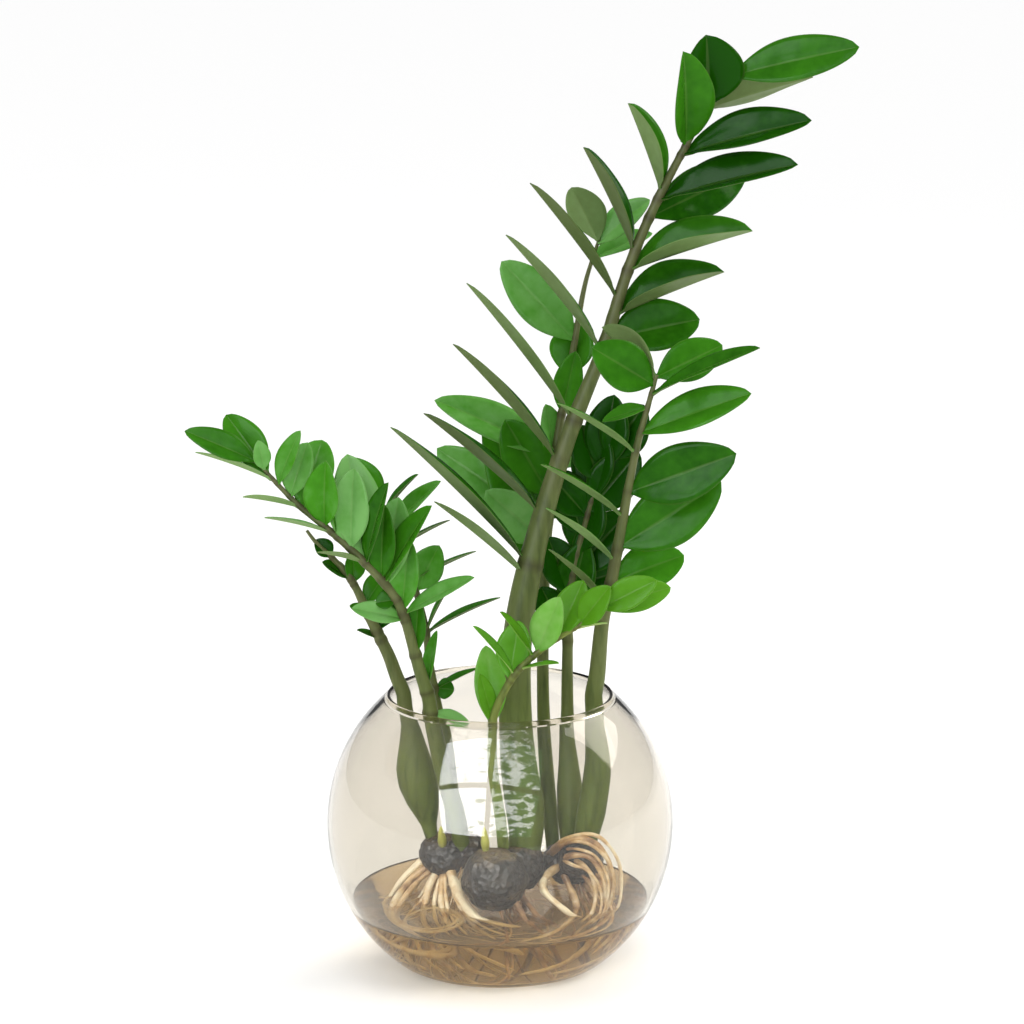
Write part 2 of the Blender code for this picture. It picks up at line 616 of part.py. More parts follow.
def clear_of_rim(path, radii):
    """Moves in the two points on either side of the rim where the line between them touches it."""
    path = list(path)
    top = RIM_HEIGHT + BOWL_WALL / 2
    mouth = math.sqrt(INNER_RADIUS**2 - (RIM_HEIGHT - CENTRE_HEIGHT) ** 2) - 2 * CLEARANCE
    for index in range(len(path) - 1):
        low, high = path[index], path[index + 1]
        if low.z <= top < high.z:
            share = (top - low.z) / (high.z - low.z)
            radius = radii[index] + (radii[index + 1] - radii[index]) * share
            crossing = low.lerp(high, share)
            outward = Vector((crossing.x, crossing.y, 0))
            touch = outward.length + radius / (high - low).normalized().z - mouth
            if touch > 0:
                path[index] = low - outward.normalized() * touch
                path[index + 1] = high - outward.normalized() * touch
    return path


def along_line(values, shares, fraction):
    """Reads values kept at these shares, with straight lines between them."""
    for index in range(len(values) - 1):
        if fraction <= shares[index + 1]:
            t = (fraction - shares[index]) / (shares[index + 1] - shares[index])
            return values[index] + (values[index + 1] - values[index]) * t, index
    return values[-1], len(values) - 2


def leaflet_axes(lean, towards, turn):
    """The directions along a leaflet, across it, and out of its upper face."""
    lean, towards, turn = math.radians(lean), math.radians(towards), math.radians(turn)
    along = Vector((
        math.sin(lean) * math.cos(towards), -math.sin(towards), math.cos(lean) * math.cos(towards)
    ))
    front = Vector((0, -1, 0))
    facing = (front - along * along.dot(front)).normalized()
    skyward = along.cross(facing) * (1 if lean < 0 else -1)
    face = facing * math.cos(turn) + skyward * math.sin(turn)
    return along, face.cross(along), face


def leaflet_mesh(name, base, axes, length, width, droop, twist, fold):
    """A pointed blade, folded along its midrib, made by reshaping a ball."""
    along, across, face = axes
    bm = bmesh.new()
    bmesh.ops.create_uvsphere(bm, u_segments=LEAFLET_SIDES, v_segments=LEAFLET_RINGS, radius=1)
    for vert in bm.verts:
        t = (vert.co.z + 1) / 2
        blunt = BLADE_FOOT + (BLADE_TIP - BLADE_FOOT) * t
        outline = math.sin(math.pi * t) ** blunt if 0 < t < 1 else 0
        ring = math.sqrt(max(0.0, 1 - vert.co.z**2)) or 1
        side = vert.co.x / ring * outline * width / 2
        lift = vert.co.y / ring * outline**BLADE_FLATNESS * LEAFLET_THICKNESS / 2
        lift += abs(side) * math.sin(math.radians(fold))
        side *= math.cos(math.radians(fold))
        roll = math.radians(twist) * (t - 0.5)
        place = base + along * (length * t)
        place += across * (side * math.cos(roll) - lift * math.sin(roll))
        place += face * (side * math.sin(roll) + lift * math.cos(roll) - droop * length * t * t)
        vert.co = place
    mesh = bpy.data.meshes.new(name)
    bm.to_mesh(mesh)
    bm.free()
    return mesh


def leaflets(name, design, lines, material, touching):
    """All the leaflets of a frond, just clear of its stem or rooted in it."""
    path, radii, shares = lines
    made = []
    for number, row in enumerate(design["leaflets"], 1):
        share, lean, towards, length, width, turn, fold = row
        place, index = along_line(path, shares, share)
        radius, _ = along_line(radii, shares, share)
        heading = (path[index + 1] - path[index]).normalized()
        towards *= 1 + FANNING * (max(1.0, LEAFLET_WIDTH) - 1)
        axes = leaflet_axes(lean, towards, turn)
        slant = max(LEAST_SLANT, math.sqrt(max(0.0, 1 - axes[0].dot(heading) ** 2)))
        room = 2 * CLEARANCE + STAND_OFF * (max(1.0, LEAFLET_WIDTH * STEM_GIRTH * FROND_SCALE) - 1)
        start = ROOTED_SHARE * radius if touching else radius / slant + room
        scale = MM * FROND_SCALE
        mesh = leaflet_mesh(
            name, place + axes[0] * start, axes, length * scale * LEAFLET_LENGTH - start,
            width * scale * LEAFLET_WIDTH, design["droop"], design["twist"], fold,
        )
        made.append(new_object(f"{name}_leaflet_{number:02d}", mesh, material))
    return made


def frond(name, design, green, bark, knob_cutters):
    """One frond: a stem with its leaflets, the stem's foot cut to sit on its rhizome."""
    lines = frond_lines(name, design)
    loose = name in FRONDS_WITH_LOOSE_LEAFLETS
    stem = tube_mesh(name, lines[0], lines[1], STEM_SIDES)
    body = new_object(f"{name}_stem" if loose else f"{name}_frond", stem, bark)
    blades = leaflets(name, design, lines, green, not loose)
    if not loose:
        boolean(body, "UNION", blades)
    boolean(body, "DIFFERENCE", knob_cutters)


# The whole plant. -------------------------------------------------------------------------------
def main():
    for obj in list(bpy.data.objects):
        bpy.data.objects.remove(obj)
    leaf_green = surface("glossy leaflet", (0.06, 0.22, 0.03), 0.3)
    young_green = surface("young leaflet", (0.13, 0.40, 0.05), 0.35)
    stem_green = surface("olive stem", (0.12, 0.13, 0.05), 0.5)
    bark = surface("rhizome skin", (0.05, 0.04, 0.03), 0.7)
    bud_green = surface("bud", (0.45, 0.50, 0.12), 0.45)
    swollen = []
    knob_cutters = []
    for name, design in RHIZOMES.items():
        rhizome(name, design, bark)
        shapes = rhizome_shapes(name + "_cutter", design, bark, CLEARANCE)
        swollen += shapes
        knob_cutters += shapes[: len(design["knobs"])]
    bowl()
    water(swollen)
    for name, (foot, tip, radius) in BUDS.items():
        boolean(bud(name, foot, tip, radius, bud_green), "DIFFERENCE", knob_cutters)
    for name, design in FRONDS.items():
        frond(name, design, young_green if name == "young" else leaf_green, stem_green, knob_cutters)


main()
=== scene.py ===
# %% [markdown]
# # A ZZ plant growing in water
#
# The subject is a Zamioculcas, or ZZ plant, that stands with its bare roots in a clear glass ball
# bowl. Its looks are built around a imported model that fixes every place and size, from the table
# upwards: glass, water, rhizomes, roots, stems, leaflets.

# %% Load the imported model
import math
import random

import bmesh
import bpy
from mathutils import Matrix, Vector, noise


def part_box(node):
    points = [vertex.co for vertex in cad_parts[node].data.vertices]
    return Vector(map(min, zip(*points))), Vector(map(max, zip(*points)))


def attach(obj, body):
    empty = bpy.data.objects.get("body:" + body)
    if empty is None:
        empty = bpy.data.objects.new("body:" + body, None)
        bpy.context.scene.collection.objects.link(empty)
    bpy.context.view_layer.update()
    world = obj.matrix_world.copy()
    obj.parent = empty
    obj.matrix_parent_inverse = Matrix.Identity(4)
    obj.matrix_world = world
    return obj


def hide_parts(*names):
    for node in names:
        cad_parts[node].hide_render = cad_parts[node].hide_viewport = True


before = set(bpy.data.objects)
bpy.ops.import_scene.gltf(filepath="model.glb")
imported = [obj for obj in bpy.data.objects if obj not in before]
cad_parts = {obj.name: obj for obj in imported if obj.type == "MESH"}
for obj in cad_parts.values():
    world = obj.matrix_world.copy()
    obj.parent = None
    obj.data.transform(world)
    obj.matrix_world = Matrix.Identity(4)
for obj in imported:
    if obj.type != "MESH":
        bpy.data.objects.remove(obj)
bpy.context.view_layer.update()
MM = 0.001

# %% [markdown]
# ## The camera
#
# A long lens from almost two metres keeps the bowl round and the stems straight. The view looks a
# little down, so the mouth of the bowl shows as an ellipse. Colours are shown as they are, with no
# film curve over them, so that a leaf's green in the material is the green in the picture.

# %% Camera
def placed(name, data):
    """An object in the scene, made from this mesh, light or camera."""
    made = bpy.data.objects.new(name, data)
    bpy.context.scene.collection.objects.link(made)
    return made


VIEW_DOWN = math.radians(11.9)
VIEW_DISTANCE = 1.9
VIEW_TARGET = Vector((0.0069, 0, 0.264))

camera = placed("camera", bpy.data.cameras.new("camera"))
look = Vector((0, math.cos(VIEW_DOWN), -math.sin(VIEW_DOWN)))
camera.location = VIEW_TARGET - look * VIEW_DISTANCE
camera.rotation_euler = (math.pi / 2 - VIEW_DOWN, 0, 0)
camera.data.sensor_width = 36
camera.data.lens = 117.9
bpy.context.scene.camera = camera
bpy.context.scene.view_settings.view_transform = "Standard"
print("camera:", camera.location)

# %% [markdown]
# ## The studio
#
# Glass shows what is around it. A window of four panes, with a garden beyond, stands high behind
# the camera and draws its shape on the bowl. A softbox on the right, set a little behind, gives the
# leaves their shine. The room is an even white that mirrors see dimmed, so they keep some contrast.


# %% Floor, world and lights
def linear(code):
    """An sRGB hex colour as the linear values that Blender's sockets take."""
    values = [int(code[i : i + 2], 16) / 255 for i in (1, 3, 5)]
    return (*[v / 12.92 if v <= 0.04045 else ((v + 0.055) / 1.055) ** 2.4 for v in values], 1)


def feed(made, inputs):
    """Sets a node's inputs, or links them where a socket or another node is given."""
    for key, value in inputs.items():
        if isinstance(value, bpy.types.Node):
            value = next(socket for socket in value.outputs if socket.enabled)
        if isinstance(value, bpy.types.NodeSocket):
            made.id_data.links.new(value, made.inputs[key])
        else:
            made.inputs[key].default_value = value


def node(material, kind, inputs=None, **settings):
    """Adds a shader node. A setting that is none of its properties goes to the input of that name."""
    made = material.node_tree.nodes.new("ShaderNode" + kind)
    for key, value in settings.items():
        if hasattr(made, key):
            setattr(made, key, value)
        else:
            made.inputs[key.replace("_", " ")].default_value = value
    feed(made, inputs or {})
    return made


def every(size):
    """The scale of a pattern whose patches are about so many millimetres across."""
    return 1 / (size * MM)


def new_material(name):
    """A material with its shader, and nothing else yet."""
    material = bpy.data.materials.new(name)
    material.use_nodes = True
    return material, material.node_tree.nodes["Principled BSDF"]


def softbox(name, place, target, side, power, colour):
    light = placed(name, bpy.data.lights.new(name, "AREA"))
    light.data.size = side
    light.data.energy = power
    light.data.color = linear(colour)[:3]
    light.location = place
    light.rotation_euler = (Vector(target) - Vector(place)).to_track_quat("-Z", "Y").to_euler()
    return light


FLOOR_SIZE = 15
FLOOR_GAP = 0.3 * MM
floor_mesh = bpy.data.meshes.new("floor")
bm = bmesh.new()
bmesh.ops.create_grid(bm, x_segments=1, y_segments=1, size=FLOOR_SIZE)
bm.to_mesh(floor_mesh)
bm.free()
floor = placed("floor", floor_mesh)
floor.location.z = -FLOOR_GAP
paper, paper_shader = new_material("pale paper sweep")
feed(paper_shader, {"Base Color": linear("#FFFFFF"), "Roughness": 0.9})
floor_mesh.materials.append(paper)

ROOM_LIGHT = 1.05
ROOM_IN_MIRRORS = 0.2
world = bpy.data.worlds.new("pale room")
world.use_nodes = True
ray = node(world, "LightPath")
mirrored = node(
    world, "Math", {0: ray.outputs["Is Glossy Ray"], 1: ray.outputs["Is Transmission Ray"]},
    operation="SUBTRACT", use_clamp=True,
)
strength = node(
    world, "Math", {0: mirrored, 1: ROOM_IN_MIRRORS - ROOM_LIGHT, 2: ROOM_LIGHT},
    operation="MULTIPLY_ADD",
)
feed(world.node_tree.nodes["Background"], {"Color": linear("#FFFFFF"), "Strength": strength})
bpy.context.scene.world = world

WINDOW_PLACE = Vector((-0.17, -1.15, 1.03))
WINDOW_PANE = 0.88
WINDOW_BAR = 0.09
WINDOW_POWER = 17
POWER_FALL = 0.3
LEAFIER_RIGHT = 0.2
look_in = (Vector((0, 0, 0.085)) - WINDOW_PLACE).normalized()
side = look_in.cross(Vector((0, 0, 1))).normalized()
up = side.cross(look_in)


def garden_view(light):
    """Leaves beyond the window hide its sky, more of them towards the right."""
    light.use_nodes = True
    place = node(light, "NewGeometry").outputs["Position"]
    sprays = node(light, "Mapping", {"Vector": place}, Scale=(0.6, 1.6, 1.6))
    leafy = node(light, "TexNoise", {"Vector": sprays}, Scale=every(143), Detail=4.0)
    across = node(light, "VectorMath", {0: place, 1: side}, operation="DOT_PRODUCT")
    cover = node(
        light, "Math", {0: across.outputs["Value"], 1: LEAFIER_RIGHT, 2: leafy},
        operation="MULTIPLY_ADD",
    )
    edge = node(light, "MapRange", {"Value": cover}, From_Min=0.53, From_Max=0.6)
    view = node(light, "Mix", {0: edge, 6: (1, 1, 1, 1), 7: linear("#2C5A30")}, data_type="RGBA")
    feed(light.node_tree.nodes["Emission"], {"Color": view})


for column in (-0.5, 0.5):
    for row in (-0.5, 0.5):
        middle = WINDOW_PLACE + (side * column + up * row) * (WINDOW_PANE + WINDOW_BAR)
        power = WINDOW_POWER * (1 - POWER_FALL * column)
        pane = softbox("window_pane", middle, middle + look_in, WINDOW_PANE, power, "#F5F8FF")
        pane.visible_diffuse = pane.visible_camera = False
        garden_view(pane.data)
softbox("right_softbox", (1.3, 0.55, 1.35), (0.05, 0, 0.3), 1.1, 14, "#FFF9EE")

# %% [markdown]
# ## Sizes
#
# The bowl's radius and the water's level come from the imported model, and the walls and the base are
# those it was drawn with.

# %% Sizes of the bowl
bowl_low, bowl_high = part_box("bowl")
BOWL_RADIUS = (bowl_high.x - bowl_low.x) / 2
BASE_RADIUS = 0.58 * BOWL_RADIUS
MOUTH_RADIUS = 0.65 * BOWL_RADIUS
BOWL_WALL = 2.6 * MM
BOWL_FLOOR = 4.5 * MM
FOOT_FILLET = 5 * MM
WATER_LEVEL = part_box("water")[1].z
CENTRE_HEIGHT = math.sqrt(BOWL_RADIUS**2 - BASE_RADIUS**2)
RIM_HEIGHT = CENTRE_HEIGHT + math.sqrt(BOWL_RADIUS**2 - MOUTH_RADIUS**2)
INNER_RADIUS = BOWL_RADIUS - BOWL_WALL
print("bowl radius, rim and water level in metres:", BOWL_RADIUS, RIM_HEIGHT, WATER_LEVEL)


# %% Helpers that make objects
def finished(name, bm, material, replaced):
    """Turns a bmesh into a piece of the plant that rides on the model and stands for its nodes."""
    mesh = bpy.data.meshes.new(name)
    bm.to_mesh(mesh)
    bm.free()
    mesh.materials.append(material)
    mesh.shade_smooth()
    piece = placed(name, mesh)
    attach(piece, "root")
    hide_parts(*replaced)
    return piece


def kept(material, layer):
    """The three numbers that a mesh keeps at its points under this name."""
    values = node(material, "Attribute", attribute_name=layer).outputs["Vector"]
    return node(material, "SeparateXYZ", {"Vector": values}).outputs


# %% [markdown]
# ## The glass ball
#
# A ball bowl is blown into a round mould, cut at the mouth and fire-polished, so its rim is a soft
# round bead and its foot is pressed flat. Spinning one outline about the axis gives the outside,
# the rim and the inside in one closed skin. The glass's warm grey is a painted reflection of a beige
# room, taken up in its body, so the more glass the light passes, the deeper it comes out: the edges
# and the foot are deeper than the middle.


# %% Glass material
def see_through(name, colour, ior, clearness, waves, wave_height, absorbed, density):
    """A clear body: its skin has slow waves, and it colours light by how far it goes inside."""
    material, shader = new_material(name)
    place = node(material, "TexCoord").outputs["Object"]
    ripple = node(material, "TexNoise", {"Vector": place}, Scale=every(waves), Detail=1.0)
    bump = node(material, "Bump", {"Height": ripple}, Strength=wave_height, Distance=2 * MM)
    feed(shader, {
        "Base Color": linear(colour), "Roughness": 0.0, "IOR": ior, "Transmission Weight": clearness,
        "Normal": bump,
    })
    volume = node(material, "VolumeAbsorption", Color=linear(absorbed), Density=density)
    feed(material.node_tree.nodes["Material Output"], {"Volume": volume})
    return material


def clear_glass():
    """Soda-lime glass, blown and fire-polished: clear in the middle, with a warm grey, a painted reflection
    of a beige room, deeper at the edges.
    """
    # The warm grey of the base and absorption colours is a painted reflection of a beige room.
    return see_through(
        "soda-lime glass", "#EDEAE3", ior=1.5, clearness=1.0, waves=45.5, wave_height=0.12,
        absorbed="#A68F6C", density=24.0,
    )


def rim_glass():
    """The fire-polished rim: thin enough to be seen through, with a soft edge."""
    material, shader = new_material("fire-polished rim")
    # Its warm grey, like the bowl's, is a painted reflection of a beige room.
    feed(shader, {
        "Base Color": linear("#E4DED0"), "Roughness": 0.12, "IOR": 1.18, "Transmission Weight": 1.0,
    })
    return material


# %% Bowl
def arc(radius, low, high, steps):
    """Points of the ball's outline between two heights, as (radius, height)."""
    start = math.asin((low - CENTRE_HEIGHT) / radius)
    end = math.asin((high - CENTRE_HEIGHT) / radius)
    turns = [start + (end - start) * step / steps for step in range(steps + 1)]
    return [(radius * math.cos(turn), CENTRE_HEIGHT + radius * math.sin(turn)) for turn in turns]


def wall(radius, low):
    """One side of the wall, from low up to the rim, with its last step inside the polished band."""
    band = RIM_HEIGHT - POLISHED
    return arc(radius, low, band, 48) + arc(radius, band, RIM_HEIGHT, 1)[1:]


def spun(outline, steps=128):
    """A closed skin spun from an outline that starts and ends on the axis."""
    bm = bmesh.new()
    verts = [bm.verts.new((radius, 0, height)) for radius, height in outline]
    edges = [bm.edges.new(pair) for pair in zip(verts, verts[1:])]
    bmesh.ops.spin(
        bm, geom=verts + edges, axis=(0, 0, 1), cent=(0, 0, 0), angle=math.tau, steps=steps, use_merge=True
    )
    bmesh.ops.remove_doubles(bm, verts=bm.verts, dist=1e-6)
    bmesh.ops.recalc_face_normals(bm, faces=bm.faces)
    return bm


RIM_STEPS = 8
FOOT_STEPS = 5
POLISHED = 1.8 * MM
LIP_HEIGHT = 20 * MM
LIP_THINNING = 1.9 * MM
flat = BASE_RADIUS - FOOT_FILLET
foot_radius = math.sqrt(BOWL_RADIUS**2 - (CENTRE_HEIGHT - FOOT_FILLET) ** 2)
outline = [(0, 0), (flat, 0)]
for step in range(1, FOOT_STEPS + 1):
    t = step / FOOT_STEPS
    outline.append((flat + t * (foot_radius - flat), FOOT_FILLET * t * t))
outer = wall(BOWL_RADIUS, FOOT_FILLET)
inner = [
    (radius + LIP_THINNING * max(0.0, 1 - (RIM_HEIGHT - height) / LIP_HEIGHT) ** 2, height)
    for radius, height in wall(INNER_RADIUS, BOWL_FLOOR)
]
outline += outer[1:]
rim_middle = (outer[-1][0] + inner[-1][0]) / 2
bead = (outer[-1][0] - inner[-1][0]) / 2
for step in range(1, RIM_STEPS):
    turn = math.pi * step / RIM_STEPS
    outline.append((rim_middle + bead * math.cos(turn), RIM_HEIGHT + bead * math.sin(turn)))
outline += reversed(inner)
outline.append((0, BOWL_FLOOR))
bowl = finished("glass_ball_bowl", spun(outline), clear_glass(), ["bowl"])
bowl.data.materials.append(rim_glass())
for face in bowl.data.polygons:
    face.material_index = int(face.center.z > RIM_HEIGHT - POLISHED)
bowl.visible_shadow = False
print("bowl:", len(bowl.data.polygons), "faces")

# %% [markdown]
# ## The water
#
# Old water in which roots stand is the colour of weak tea. It overlaps the glass by a hair, because
# a gap of air between the two would shine like a mirror. At the wall it climbs in a small meniscus.


# %% Water
def tea_water():
    """Water stained by tannins, a little cloudy: amber where it is deep, clearer at its edge."""
    return see_through(
        "tannin-stained water", "#DCC08C", ior=1.333, clearness=0.94, waves=28.6, wave_height=0.2,
        absorbed="#D1BD45", density=18.0,
    )


OVERLAP = 0.3 * MM
MENISCUS = 0.5 * MM
outline = [(0, BOWL_FLOOR - OVERLAP)]
outline += arc(INNER_RADIUS + OVERLAP, BOWL_FLOOR - OVERLAP, WATER_LEVEL + MENISCUS, 20)
edge = outline[-1][0]
for back, climb in ((0.4, 0.62), (0.9, 0.34), (1.6, 0.15), (2.6, 0.05), (4.5, 0)):
    outline.append((edge - back * MM, WATER_LEVEL + climb * MENISCUS))
outline.append((0, WATER_LEVEL))
water = finished("bowl_water", spun(outline, 96), tea_water(), ["water"])
water.visible_shadow = False
print("water:", len(water.data.polygons), "faces")
